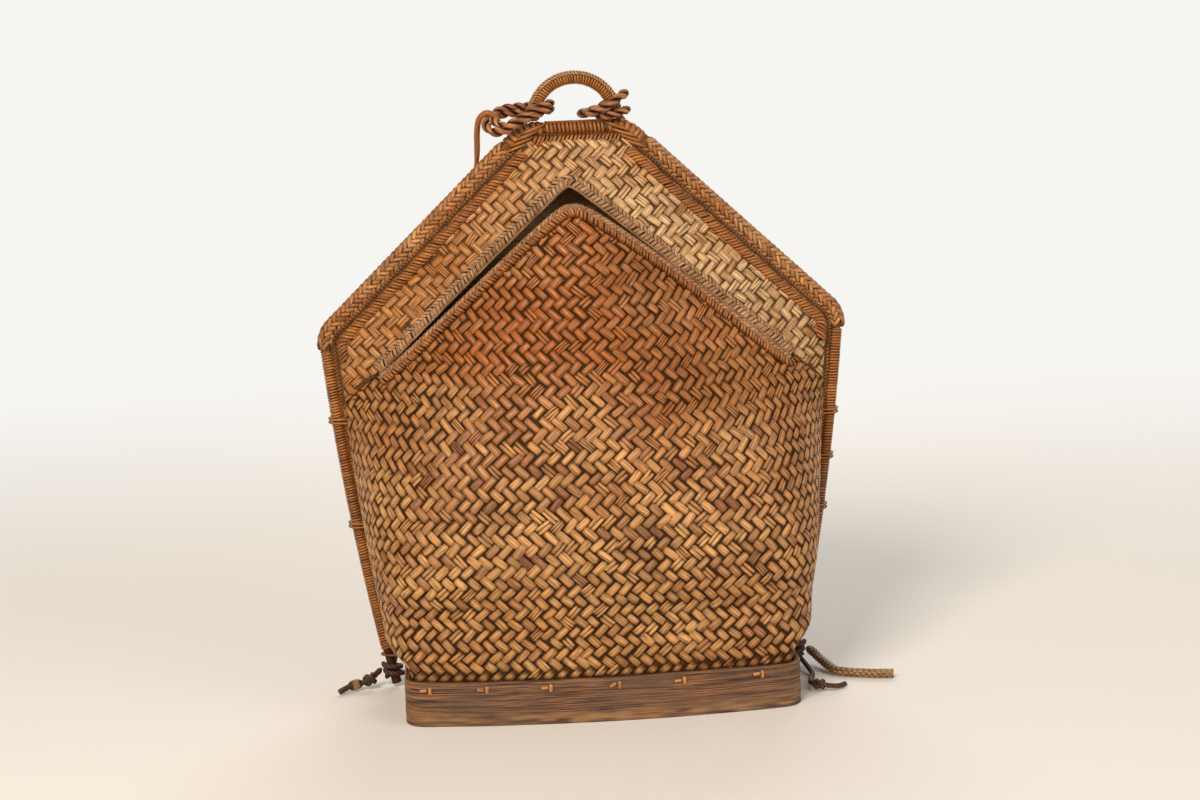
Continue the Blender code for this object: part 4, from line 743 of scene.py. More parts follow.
def lip_z(x):
    """Height of the lip below the mouth's edge: open on the left arm, close on the right."""
    reach = np.abs(np.where(x >= peak_x, end_x, -end_x) - peak_x)
    share = np.minimum(np.abs(x - peak_x) / reach, 1.0)
    drop = lip_drop_end + (lip_drop_peak - lip_drop_end) * (1 - share) ** np.where(x >= peak_x, 3.0, 0.6)
    drop = drop + (seam_width - drop) * smooth_step((np.abs(x) - end_x) / seam_closing)
    softer = (lip_rounding - mouth_rounding) * np.exp(-np.abs(x - peak_x) / lip_rounding) / 2
    return mouth_z(x) - drop - softer


def yoke_y(x, z):
    """Depth of the yoke's middle surface: flat by the frame, swelling towards the mouth."""
    across, deep = section_powers(z)
    share = np.minimum(np.abs(x) / half_width(z), 1.0)
    swell = np.maximum(depth_at(z, yoke_heights, yoke_depths) + yoke_edge_y, 0.0)
    return yoke_edge_y - swell * (1 - share ** across) ** deep


print(f"the body is {2000 * half_width(0.23):.0f} mm wide at the shoulders")


# %% [markdown]
# The pouch is sampled once into a table: one row for each height, with points evenly spaced round
# its section. Reading between the table's points gives a place and a normal for any spot on the wall,
# for all strips at once.

# %% The pouch as a table
table_heights = np.linspace(body_bottom, 0.352, 176)
table_columns = 257


def pouch_table(heights, columns):
    """Rows of the pouch's middle surface, and the length round each row.

    With u from 0 in the middle to 1 at the edge, x = width u and y = edge - depth (1 - u^a)^b, sampled
    evenly both in u and in depth, because the sides are steep. The right side is tucked in near the lip.
    """
    across, deep = (power[:, None] for power in section_powers(heights))
    even = np.linspace(0.0, 1.0, 200)[None] + 0 * across
    u = np.concatenate((even, (1 - even ** (1 / deep)) ** (1 / across)), axis=1)
    rise = np.concatenate(((1 - even ** across) ** deep, even), axis=1)
    order = np.argsort(rise - u, axis=1)
    u, rise = np.take_along_axis(u, order, 1), np.take_along_axis(rise, order, 1)
    bow = base_bow * (1 - smooth_step((heights - band_height) / (2 * flare_height)))[:, None]
    full = depth_at(heights, pouch_heights, pouch_depths)[:, None] + pouch_edge_y - bow * u ** 2
    x, y = half_width(heights)[:, None] * u, pouch_edge_y - full * rise
    x, y = np.concatenate((-x, x[:, -2::-1]), axis=1), np.concatenate((y, y[:, -2::-1]), axis=1)
    steps = np.hypot(np.diff(x, axis=1), np.diff(y, axis=1))
    along = np.concatenate((0 * steps[:, :1], np.cumsum(steps, axis=1)), axis=1)
    wanted = np.linspace(0.0, 1.0, columns)
    x = np.stack([np.interp(wanted * total[-1], total, row) for total, row in zip(along, x)])
    y = np.stack([np.interp(wanted * total[-1], total, row) for total, row in zip(along, y)])
    z = heights[:, None]
    near_lip = smooth_step((z - (lip_z(x) - tuck_height)) / tuck_height)
    y += np.where(x > 0, arm_tuck * near_lip * np.sin(np.pi * np.clip(x / end_x, 0.0, 1.0)) ** 2, 0.0)
    return triples(x, y, z), along[:, -1]


def between(table, row, column):
    """Values between a table's points: the four around a place, weighted by nearness."""
    i = np.clip(np.floor(row).astype(int), 0, table.shape[0] - 2)
    j = np.clip(np.floor(column).astype(int), 0, table.shape[1] - 2)
    fi, fj = (row - i)[..., None], (column - j)[..., None]
    low = table[i, j] * (1 - fj) + table[i, j + 1] * fj
    high = table[i + 1, j] * (1 - fj) + table[i + 1, j + 1] * fj
    return low * (1 - fi) + high * fi


pouch_points, pouch_rounds = pouch_table(table_heights, table_columns)
pouch_normals = unit(np.cross(np.gradient(pouch_points, axis=1), np.gradient(pouch_points, axis=0)))
pouch_climb = lengths_along(pouch_points[:, table_columns // 2])
print(f"the pouch is {pouch_rounds.max() * 1000:.0f} mm round at most")
print(f"its middle line is {pouch_climb[-1] * 1000:.0f} mm long")


def on_pouch(share, z):
    """Place and normal on the pouch at a share of the way round, and at a height."""
    row = (z - table_heights[0]) / (table_heights[1] - table_heights[0])
    column = np.clip(share, 0.0, 1.0) * (table_columns - 1)
    return between(pouch_points, row, column), unit(between(pouch_normals, row, column))

# %% [markdown]
# ## Plaited strips
# The body is a herringbone twill: strips of one slant lie side by side in a row, and the next row
# slants the other way, each strip diving under its neighbours. It could be a bump pattern, but strips
# with real ends give true shadows and a true outline. Each strip is a small closed pill of 40 faces,
# and all of them are computed in one array: a place on the wall, a direction, and seven stations
# along each strip.

# %% One strip's shape, laid many times
station_shares = np.array((-1.0, -0.84, -0.60, 0.0, 0.60, 0.84, 1.0))
strip_section = np.array(((-1.0, 0.0), (-0.84, 0.84), (0.0, 1.0), (0.84, 0.84), (1.0, 0.0), (0.0, -0.35)))
strip_end_width = 0.72
strip_quads = tube_quads(len(station_shares), len(strip_section))
points_per_strip = len(station_shares) * len(strip_section)


def lay_strips(strips, surface, crown, tone, orange, seed, lift=0.0, soil_and_shade=0.0):
    """Many strips on a surface, each given as (u, v, angle, half length, half width).

    With s along and w across, both from -1 to 1, a point lies at s half length and
    w half width (e + (1 - e) sqrt(1 - s^4)), turned by the angle. Its height is
    crown (h (1 - 0.3 s^2) - |s|^6) + lift, so the ends dive below the neighbours. Soil
    darkens a strip from its ends towards its middle, which rubbing keeps bright; near the
    ends this is also painted shade, where they dive under the neighbours. The strip's edges
    and underside are painted dark as shade too.
    """
    u, v, angle, half_length, half_wide = (column[:, None, None] for column in strips.T)
    s = station_shares[None, :, None]
    w, h = (column[None, None, :] for column in strip_section.T)
    along = s * half_length
    beside = w * half_wide * (strip_end_width + (1 - strip_end_width) * np.sqrt(1 - s ** 4))
    height = crown * (h * (1 - 0.3 * s ** 2) - np.abs(s) ** 6) + lift
    spot_u = u + along * np.cos(angle) - beside * np.sin(angle)
    spot_v = v + along * np.sin(angle) + beside * np.cos(angle)
    points, normals = surface(spot_u, spot_v)
    points = points + normals * height[..., None]
    tone, orange, soil_and_shade = (np.broadcast_to(data, len(strips))[:, None, None]
                          for data in (tone, orange, soil_and_shade))
    end_soil_and_shade = soil_and_shade * (0.03 + 1.6 * np.abs(s) ** 4)
    # painted shade: each strip darkens at its edges, at its ends where it dives under its neighbours, and
    # on its underside; at the ends soil adds real dirt
    edge = np.clip(np.abs(w) ** 7 + np.abs(s) ** 9 + end_soil_and_shade + (h < 0), 0.0, 1.0)
    shift = np.random.default_rng(seed).random((len(strips), 1, 1)) * 9.0
    return (points, repeated(strip_quads, points_per_strip, len(strips)),
            triples(tone, orange, edge),
            triples(along + shift, beside, height + shift))


plait_pitch, plait_rise = 0.0086, 0.0073
plait_slant = math.radians(43.0)
strip_half_length, strip_half_width, strip_crown = 0.0061, 0.00266, 0.0010


def twill(low_u, high_u, low_v, high_v, seed, size=1.0):
    """Centres and slants of a herringbone: rows a rise apart, each shifted by half a pitch."""
    random = np.random.default_rng(seed)
    rows = np.arange(int(low_v / (plait_rise * size)) - 1, int(high_v / (plait_rise * size)) + 2)
    ends = np.arange(int(low_u / (plait_pitch * size)) - 1, int(high_u / (plait_pitch * size)) + 2)
    row, number = (grid.ravel() for grid in np.meshgrid(rows, ends, indexing="ij"))
    hand = np.where(row % 2 == 0, 1.0, -1.0)
    count = len(row)
    u = (number - hand / 4) * plait_pitch + 0.00035 * random.standard_normal(count)
    v = row * plait_rise + 0.00030 * random.standard_normal(count)
    u, v = u * size, v * size
    u += 0.0011 * noise(v / 0.045, u / 0.10 + 3)
    v += 0.0013 * noise(u / 0.05 + 9, v / 0.07)
    angle = hand * plait_slant + math.radians(3.0) * random.standard_normal(count)
    half_length = strip_half_length * size * (1 + 0.08 * random.standard_normal(count))
    half_wide = strip_half_width * size * (1 + 0.07 * random.standard_normal(count))
    return np.column_stack((u, v, angle, half_length, half_wide))


def split_strips(strips, seed, shares=(0.82, 0.13, 0.05)):
    """Splits some strips lengthwise into two or three slivers, and says which strip each is from."""
    random = np.random.default_rng(seed)
    count = random.choice((1, 2, 3), len(strips), p=shares)
    parent = np.repeat(np.arange(len(strips)), count)
    number = np.arange(len(parent)) - np.repeat(np.cumsum(count) - count, count)
    several = count[parent] > 1
    out = strips[parent].copy()
    beside = ((number + 0.5) / count[parent] * 2 - 1) * out[:, 4]
    out[:, 0] -= beside * np.sin(out[:, 2])
    out[:, 1] += beside * np.cos(out[:, 2])
    out[:, 4] /= np.where(several, count[parent] * 1.02, 1.0)
    jitter = several * random.standard_normal(len(parent))
    out[:, 2] += math.radians(2.0) * jitter
    out[:, 3] *= 1 - 0.07 * np.abs(jitter)
    return out, parent


def weathering(u, v, parent, seed, mean, spread, patch):
    """Tone of each strip: a mean, its own chance, and slow patches of wear over the wall."""
    random = np.random.default_rng(seed)
    own = random.standard_normal(parent.max() + 1)[parent]
    patches = 0.6 * noise(u / 0.05 + 5, v / 0.05) + 0.4 * noise(u / 0.018, v / 0.018 + 31)
    dark = (random.random(parent.max() + 1)[parent] < 0.03) * 0.5
    return np.clip(mean + spread * own + patch * patches + dark, 0.0, 1.0)


print("faces in one strip:", len(strip_quads))

# %% [markdown]
# A wall behind the strips closes the gaps between them and is the basket's inside. It is a thin
# closed shell of old rattan, whose outside, where the strips cross, is painted dark as shade.

# %% Walls behind the strips
wall_outside, wall_inside = 0.00035, 0.0009


def shell(points, outward, shade_and_dirt=0.90):
    """A closed wall: the grid moved outwards and inwards along its normals, joined round its border.

    Its outside shows only in the gaps between strips, and is painted dark as the shade there. Its
    inside is old rattan in a light colour, which also paints in light on the inside seen through the mouth.
    """
    rows, columns = points.shape[:2]
    faces = grid_quads(rows, columns)
    back_faces = faces[:, ::-1] + rows * columns
    row, column = np.arange(rows), np.arange(columns)
    border = np.concatenate((column, row[1:] * columns + columns - 1,
                             (rows - 1) * columns + column[-2::-1], row[-2:0:-1] * columns))
    after = np.roll(border, -1)
    rim = np.stack((after, border, border + rows * columns, after + rows * columns), axis=1)
    both = np.concatenate((points + outward * wall_outside, points - outward * wall_inside))
    # painted shade on the outside, in the gaps; the lighter inside is partly painted light
    look = np.repeat(((0.6, 0.4, shade_and_dirt), (0.15, 0.2, 0.0)), rows * columns, axis=0)
    return both, np.concatenate((faces, back_faces, rim)), look, both


arm_end, arm_fade, arm_seam = 0.1385, 0.004, 0.0012


def near_arm_end(x):
    """1 between the mouth's two ends, falling to 0 beyond them, where no border covers the seam."""
    return 1 - smooth_step((np.abs(x) - arm_end) / arm_fade)


def woven_top(x):
    """The pouch's top: the lip between the mouth's ends, and close under the yoke beyond them."""
    return lip_z(x) + (mouth_z(x) - lip_z(x) - arm_seam) * (1 - near_arm_end(x))


lip_shares = np.linspace(0.0, 1.0, 161)
lip_tops = np.full_like(lip_shares, end_z)
# the lip's height depends on x, and x on the height, so rounds of halving bring the two together
for _ in range(20):
    lip_tops = 0.5 * lip_tops + 0.5 * woven_top(on_pouch(lip_shares, lip_tops)[0][:, 0])
pouch_rise = np.linspace(0.0, 1.0, 70)[:, None]
pouch_wall_z = body_bottom + (lip_tops[None] - body_bottom) * pouch_rise
wall_points, wall_normals = on_pouch(lip_shares[None] + 0 * pouch_wall_z, pouch_wall_z)
add_piece("pouch_wall", shell(wall_points, wall_normals), shadow_plait, ("pouch_front",))

# %% Strips of the pouch
lip_cover = 0.0040
foot_cover = 0.0275


def strips_top(x):
    """Where the pouch's strips end at the top: under the lip's border, or at the seam beyond it."""
    return woven_top(x) - lip_cover * near_arm_end(x)


def pouch_place(u, v):
    """Share of the way round, height, half the way round there, and x, from the arc lengths below."""
    z = np.interp(v, pouch_climb, table_heights)
    half_round = np.interp(z, table_heights, pouch_rounds) / 2
    share = 0.5 + np.clip(u / half_round, -1.0, 1.0) / 2
    return share, z, half_round, on_pouch(share, z)[0][..., 0]


def pouch_surface(u, v):
    """Places on the pouch from arc lengths: u round from the middle, v up the middle; held inside."""
    share, z, half_round, x = pouch_place(u, v)
    return on_pouch(share, np.clip(z, foot_cover, strips_top(x)))


def keep_on_pouch(strips, slack=0.0045):
    """The strips whose centres lie on the pouch, or just past its border."""
    share, z, half_round, x = pouch_place(*strips[:, :2].T)
    beside_top = (np.abs(strips[:, 0]) < half_round + slack / 2) & (z < strips_top(x) + slack)
    return strips[beside_top & (z > foot_cover - slack)]


pouch_strips = keep_on_pouch(twill(-0.26, 0.26, 0.0, pouch_climb[-1], seed=21))
pouch_strips, pouch_parent = split_strips(pouch_strips, seed=22)
pouch_z = np.interp(pouch_strips[:, 1], pouch_climb, table_heights)
upper = smooth_step((pouch_z - 0.13) / 0.16)
pouch_tone = weathering(*pouch_strips[:, :2].T, pouch_parent, seed=23, mean=0.34, spread=0.25, patch=0.30)
pouch_orange = np.clip(0.10 + 0.80 * upper + 0.30 * noise(pouch_strips[:, 0] / 0.05, pouch_z / 0.03), 0, 1)
low_down = 1 - smooth_step((pouch_z - 0.055) / 0.10)
outward_share = smooth_step((np.abs(pouch_strips[:, 0]) - 0.095) / 0.06)
pouch_soil_and_shade = np.clip(0.22 + 0.70 * np.maximum(low_down, outward_share)
                     + 0.40 * noise(pouch_strips[:, 0] / 0.035 + 3, pouch_z / 0.028 + 7), 0, 1.1)
pouch_tone = np.clip(pouch_tone - 0.30 * np.maximum(low_down, outward_share), 0, 1)
# the lowest course is painted black as shade where it goes down into the band
pouch_soil_and_shade += 14.0 * (1 - smooth_step((pouch_z - band_height) / 0.0045))
for name, chosen in (("pouch_strips_low", pouch_z < 0.135), ("pouch_strips_high", pouch_z >= 0.135)):
    made = lay_strips(pouch_strips[chosen], pouch_surface, strip_crown, pouch_tone[chosen],
                      pouch_orange[chosen], seed=24, lift=0.00045, soil_and_shade=pouch_soil_and_shade[chosen])
    add_piece(name, made, honey_plait, ("pouch_front",))

# %% [markdown]
# The yoke above the mouth is plaited in a lighter rattan than the pouch. Its wall is a
# height field, y as a function of x and z, so its strips are laid straight in x and z.

# %% Yoke wall and strips
yoke_low = end_z
for _ in range(12):
    yoke_low = float(mouth_z(-half_width(yoke_low)))
yoke_outline = body_edge[body_edge[:, 1] > yoke_low]
yoke_outline = at_lengths(yoke_outline, np.linspace(0.0, lengths_along(yoke_outline)[-1], 61))
yoke_outer = both_sides(yoke_outline)
yoke_reach = float(half_width(yoke_low))
yoke_inner_x = np.concatenate((np.linspace(-yoke_reach, peak_x, 61),
                               np.linspace(peak_x, yoke_reach, 61)[1:]))
yoke_inner = np.column_stack((yoke_inner_x, mouth_z(yoke_inner_x)))
blend = np.linspace(0.0, 1.0, 14)[:, None, None]
yoke_flat = yoke_inner[None] * (1 - blend) + yoke_outer[None] * blend


def on_yoke(x, z):
    """Place and normal on the yoke: y from the height field, and the normal from its slopes."""
    step = 0.0005
    y = yoke_y(x, z)
    lean_x = (yoke_y(x + step, z) - yoke_y(x - step, z)) / (2 * step)
    lean_z = (yoke_y(x, z + step) - yoke_y(x, z - step)) / (2 * step)
    return triples(x, y, z), unit(triples(lean_x, -1.0, lean_z))


yoke_points, yoke_normals = on_yoke(yoke_flat[..., 0], yoke_flat[..., 1])
add_piece("yoke_wall", shell(yoke_points, yoke_normals, shade_and_dirt=0.62), shadow_plait,
          ("yoke_front",))


def yoke_surface(u, v):
    """Places on the yoke from x and height, held between the mouth's edge and the frame."""
    z = np.clip(v, mouth_z(u) + 0.0003 + 0.0027 * near_arm_end(u), body_top_z - 0.0015)
    reach = half_width(z) - 0.0022
    return on_yoke(np.clip(u, -reach, reach), z)


def inside_frame(strips, lowest):
    """The strips whose centres lie above a lowest height and inside the frame, or just past them."""
    u, v = strips[:, :2].T
    on_it = (v > lowest) & (v < body_top_z + 0.002)
    return strips[on_it & (np.abs(u) < half_width(np.minimum(v, body_top_z - 0.001)) + 0.001)]


yoke_strips = twill(-0.18, 0.18, 0.20, 0.385, seed=31, size=0.94)
yoke_strips = inside_frame(yoke_strips, mouth_z(yoke_strips[:, 0]) - 0.001)
yoke_strips, yoke_parent = split_strips(yoke_strips, seed=32, shares=(0.62, 0.27, 0.11))
yoke_strips[:, 4] *= 1.07
yoke_tone = weathering(*yoke_strips[:, :2].T, yoke_parent, seed=33, mean=0.26, spread=0.20, patch=0.22)
leftward = smooth_step((0.02 - yoke_strips[:, 0]) / 0.10)
yoke_orange = np.clip(0.22 + 0.66 * leftward
                      + 0.30 * noise(yoke_strips[:, 0] / 0.05, yoke_strips[:, 1] / 0.03), 0, 1)
rightward = smooth_step((yoke_strips[:, 0] - 0.09) / 0.05)
yoke_soil = np.clip(0.12 + 0.35 * rightward
                    + 0.4 * noise(yoke_strips[:, 0] / 0.03, yoke_strips[:, 1] / 0.02 + 4), 0, 1)
made = lay_strips(yoke_strips, yoke_surface, strip_crown, yoke_tone, yoke_orange, seed=34, lift=0.00045,
                  soil_and_shade=yoke_soil)
add_piece("yoke_strips", made, pale_plait, ("yoke_front",))

# %% [markdown]
# The back is flat, because the carrier leans on it, and the floor closes the foot. Both are plain
# planes, plaited like the rest.

# %% Back and floor
back_heights = np.linspace(body_bottom, body_top_z - 0.0004, 90)
back_widths = half_width(back_heights) - wall / 2
back_grid = triples(back_widths[:, None] * np.linspace(-1.0, 1.0, 41), back_y, back_heights[:, None])
add_piece("back_wall", shell(back_grid, np.array((0.0, 1.0, 0.0))), shadow_plait,
          ("back_panel",))


def back_surface(u, v):
    """Places on the flat back from x and height, held inside its outline; normals point to +Y."""
    z = np.clip(v, foot_cover, body_top_z - 0.0006)
    reach = half_width(z) - wall / 2 - 0.0004
    x = np.clip(u, -reach, reach)
    return triples(x, back_y, z), np.broadcast_to((0.0, 1.0, 0.0), x.shape + (3,))


back_strips = inside_frame(twill(-0.18, 0.18, foot_cover, 0.385, seed=41), foot_cover - 0.003)
back_strips, back_parent = split_strips(back_strips, seed=42, shares=(0.86, 0.12, 0.02))
back_tone = weathering(*back_strips[:, :2].T, back_parent, seed=43, mean=0.36, spread=0.16, patch=0.20)
back_orange = np.clip(0.30 + 0.35 * noise(back_strips[:, 0] / 0.07, back_strips[:, 1] / 0.05), 0, 1)
made = lay_strips(back_strips, back_surface, strip_crown, back_tone, back_orange, seed=44, lift=0.00035)
add_piece("back_strips", made, honey_plait, ("back_panel",))

floor_rim = pouch_points[np.searchsorted(table_heights, band_height)][:, :2]
floor_middle = np.array((0.0, -0.055))
floor_inset = 0.0016
shrink = 1 - floor_inset / np.linalg.norm(floor_rim - floor_middle, axis=1)[:, None]
floor_round = floor_middle + (floor_rim - floor_middle) * shrink
floor_round = at_lengths(floor_round, np.linspace(0.0, lengths_along(floor_round)[-1], 121))
floor_z = body_bottom + wall / 2
floor_left, floor_right = floor_round[:61], floor_round[:59:-1]
across_share = np.linspace(0.0, 1.0, 15)[:, None, None]
floor_flat = floor_left[None] * (1 - across_share) + floor_right[None] * across_share
floor_grid = triples(floor_flat[..., 0], floor_flat[..., 1], floor_z)
add_piece("floor_wall", shell(floor_grid, np.array((0.0, 0.0, -1.0))), shadow_plait,
          ("floor_panel",))


def floor_surface(u, v):
    """Places under the floor from x and depth, held inside the foot's outline; normals point down."""
    y = np.clip(v, floor_round[:, 1].min() + 0.001, pouch_edge_y - 0.001)
    reach = np.interp(-y, -floor_right[:, 1], floor_right[:, 0]) - 0.001
    x = np.clip(u, -reach, reach)
    return triples(x, y, floor_z), np.broadcast_to((0.0, 0.0, -1.0), x.shape + (3,))


floor_strips = twill(-0.125, 0.125, -0.108, -0.005, seed=51)
floor_strips, floor_parent = split_strips(floor_strips, seed=52, shares=(0.9, 0.1, 0.0))
reach = np.interp(-floor_strips[:, 1], -floor_right[:, 1], floor_right[:, 0])
floor_kept = np.abs(floor_strips[:, 0]) < reach + 0.002
floor_strips, floor_parent = floor_strips[floor_kept], floor_parent[floor_kept]
floor_tone = weathering(*floor_strips[:, :2].T, floor_parent, seed=53, mean=0.5, spread=0.15, patch=0.2)
made = lay_strips(floor_strips, floor_surface, strip_crown, floor_tone, orange=0.2, seed=54, lift=0.0002)
add_piece("floor_strips", made, honey_plait, ("floor_panel",))

# %% [markdown]
# ## Frame and bindings
# The frame is one bent cane, bound along its sides by a fine split-rattan strip. A winding is a helix
# round the frame's line, so a strip's section is carried along that helix in one array. The grooves
# between turns come from the strip's own low edges.

# %% Cane and wound strips
flat_section = np.array(((-1.0, -0.5), (-0.76, 0.30), (0.0, 0.55), (0.76, 0.30), (1.0, -0.5), (0.0, -0.6)))


def wound_strip(line, core, pitch, width, thickness, per_turn, seed, unevenness=0.04):
    """One flat strip wound round a line.

    At turn t its middle is at distance pitch t along the line, at radius core + thickness / 2 and
    angle 2 pi t. Its section lies across, in the direction helix tangent x outward.
    """
    turns = (lengths_along(line)[-1] - width) / pitch
    t = np.linspace(0.0, turns, int(round(turns * per_turn)) + 1)
    place = width / 2 + pitch * t + unevenness * pitch * noise(t * 1.3, seed)
    along = lengths_along(line)
    across, depth = (unit(along_line(axis, along, place)) for axis in side_axes(line, frontal))
    angle = 2 * np.pi * t[:, None]
    outward = across * np.cos(angle) + depth * np.sin(angle)
    lift = 1 + 0.10 * unevenness / 0.04 * noise(t * 0.9, seed + 40)
    helix = at_lengths(line, place) + outward * (core + thickness * lift / 2)[:, None]
    over = unit(np.cross(tangents(helix), outward))
    w, h = flat_section.T
    points = (helix[:, None] + over[:, None] * (w * width / 2)[None, :, None]
              + outward[:, None] * (h * thickness)[None, :, None])
    tone = np.clip(0.42 + 0.50 * noise(t * 0.8 + seed, 2.5), 0, 1)[:, None]
    orange = np.clip(0.45 + 0.5 * noise(t * 0.13, seed + 8), 0, 1)[:, None]
    # painted shade: the strip's edges and underside are darkened where the turns meet
    shade_and_dirt = np.clip(np.abs(w) ** 5 * 0.9 + (h < -0.55), 0, 1)
    grain = triples(lengths_along(helix)[:, None], w * width / 2, h * thickness)
    return points, tube_quads(len(helix), len(w)), triples(tone, orange, shade_and_dirt), grain


def plain_skin(radius):
    """A round skin with the slight swellings of cane joints, one every 170 mm."""
    def skin(angle, distance):
        joint = np.exp(-(((distance + 0.06) % 0.17 - 0.085) / 0.0022) ** 2)
        return radius * (1 + 0.05 * joint) + 0 * angle
    return skin


def dark_core(line, axes, radius, sides, shade_and_dirt):
    """A round tube that fills a binding, painted as dark as the shade in its gaps."""
    core = skinned_tube(line, axes, lambda angle, distance: radius + 0 * angle * distance, sides)
    core[2][..., 2] = shade_and_dirt
    return core


whole_frame = both_sides(half_frame)
whole_frame = even_points(triples(whole_frame[:, 0], 0.0, whole_frame[:, 1]), 0.0025)
side_start_z, braid_start_z = 0.028, 0.242
made = tube_along(whole_frame, frontal, plain_skin(cane_radius), sides=20)
made[2][..., 2] = 0.85 * (1 - smooth_step((whole_frame[:, 2:] - side_start_z) / 0.006))
dress("frame_cane", "round", made, binding_skin)

for side, name in left_and_right:
    line = frame_run(length_at_height(side_start_z), length_at_height(braid_start_z) - gap, 0.002, side)
    made = wound_strip(line, cane_radius + 0.00005, pitch=0.00200, width=0.00196, thickness=0.00125,
                       per_turn=16, seed=60 + side)
    dress(f"side_binding_{name}", "fine", made, binding_skin)

# %% [markdown]
# The body's own edge is overcast with a thin twisted cord that lies against the frame all the way
# round. It hides the raw ends of the strips, and it fills the slit between the body and the cane.

# %% Overcast edge
edge_roll_inset, edge_roll_y, edge_roll_radius = 0.0055, -0.0031, 0.0026
edge_half = inset_frame(edge_roll_inset)
edge_half = edge_half[edge_half[:, 1] > band_height + 0.002]
edge_route = both_sides(edge_half)
edge_roll_line = even_points(triples(edge_route[:, 0], edge_roll_y, edge_route[:, 1]), 0.0007)
made = tube_along(edge_roll_line, frontal,
                  twisted_skin(edge_roll_radius, strands=2, pitch=0.0050, groove=0.34), sides=12)
# painted shade: the whole cord is darkened, as the slit it fills lies in shade
made[2][..., 2] = 0.35 + 0.65 * made[2][..., 2]
add_piece("body_edge_cord", made, binding_skin)

# %% [markdown]
# The slopes of the frame carry a thick plaited roll. It is the body's own twill at about half its
# size, laid on a tube: u runs along the frame's line, and v round it.

# %% Plaited rolls on the slopes
def on_tube(line, axes, radius):
    """Place and normal on a tube from distance along it and distance round it."""
    along = lengths_along(line)

    def surface(u, v):
        angle = v / radius
        centre, a, b = (along_line(data, along, u) for data in (line, *axes))
        normal = unit(a * np.cos(angle)[..., None] + b * np.sin(angle)[..., None])
        return centre + normal * radius, normal
    return surface


def plaited_roll(line, axes, radius, rows, pitch, slant, half_length, half_wide, crown, seed, mean=0.35):
    """A tube of dark core, with a small herringbone of strips laid round and along it."""
    random = np.random.default_rng(seed)
    core_radius = radius - 0.75 * crown
    total = lengths_along(line)[-1]
    across_rows, along_ends = (grid.ravel() for grid in np.meshgrid(
        np.arange(rows), np.arange(int((total - half_length) / pitch)), indexing="ij"))
    hand = np.where(across_rows % 2 == 0, 1.0, -1.0)
    count = len(hand)
    u = (along_ends + 0.5 - hand / 4) * pitch + 0.05 * pitch * random.standard_normal(count)
    u += half_length / 2
    v = across_rows * 2 * np.pi * core_radius / rows
    strips = np.column_stack((u, v, hand * slant + 0.05 * random.standard_normal(count),
                              half_length * (1 + 0.07 * random.standard_normal(count)),
                              half_wide * (1 + 0.07 * random.standard_normal(count))))
    strips[:, 0] = np.clip(strips[:, 0], half_length * 0.9, total - half_length * 0.9)
    tone = np.clip(mean + 0.22 * random.standard_normal(count), 0, 1)
    orange = np.clip(0.25 + 0.3 * noise(u / 0.02, v / 0.01), 0, 1)
    laid = lay_strips(strips, on_tube(line, axes, core_radius), crown, tone, orange, seed)
    return joined((dark_core(line, axes, core_radius - 0.15 * crown, sides=16, shade_and_dirt=0.8), laid))


braid_radius = 0.0062
corner_on_slope, corner_on_bar, top_half = 0.014, 0.0145, 0.0356
braid_end = frame_length - top_half - corner_on_slope
for side, name in left_and_right:
    line = frame_run(length_at_height(braid_start_z), braid_end - gap, 0.0016, side)
    made = plaited_roll(line, side_axes(line, frontal), braid_radius, rows=8, pitch=0.0044,
                        slant=math.radians(36), half_length=0.0041, half_wide=0.00145, crown=0.0014,
                        seed=70 + side, mean=0.48)
    dress(f"rim_braid_{name}", "fine", made, honey_plait)

# %% Lashed corners and the top bar
corner_loops, corner_core_radius, corner_wrap_radius = 7, 0.0048, 0.0045
corner_length = corner_on_slope + corner_on_bar
top_binding_radius, cord_radius = 0.0055, 0.0009
for side, name in left_and_right:
    line = frame_run(braid_end, braid_end + corner_length, 0.001, side)
    pitch = corner_length / (corner_loops + 0.6)
    core = tube_along(line, frontal, plain_skin(corner_core_radius), sides=16)
    # painted shade: the core between the turns is half dark
    core[2][..., 2] = 0.5
    winding = wound_strip(line, corner_wrap_radius, pitch, width=0.98 * pitch, thickness=0.0010,
                          per_turn=20, seed=80 + side, unevenness=0.08)
    made = joined((core, winding))
    dress(f"corner_lashing_{name}", "fine", made, binding_skin)

bar_reach = top_half - corner_on_bar - gap
bar_line = np.linspace((-bar_reach, 0.0, top_z), (bar_reach, 0.0, top_z), 20)
bar_wrap = wound_strip(bar_line, cane_radius + 0.0003, pitch=0.0027, width=0.0026, thickness=0.0018,
                       per_turn=20, seed=84)
bar_cord_line = even_points(bar_line + (0.0, -0.0022, top_binding_radius - 0.0008), 0.0005)
bar_cord = tube_along(bar_cord_line, frontal,
                      twisted_skin(cord_radius, strands=2, pitch=0.0035, groove=0.3), sides=10)
dress("top_bar_binding", "fine", joined((bar_wrap, bar_cord)), binding_skin)

# %% [markdown]
# Edges and ridges are covered by short strips laid side by side, each bent over the edge. A course of
# them needs a line, two directions that are square to it, and the path that one strip takes. The path
# is written as (beside, outward) pairs, and every strip of the course is computed at once.

# %% Courses of bent strips
course_section = np.array(((-1.0, -0.5), (-0.72, 0.38), (0.0, 0.62), (0.72, 0.38), (1.0, -0.5),
                           (0.0, -0.6)))


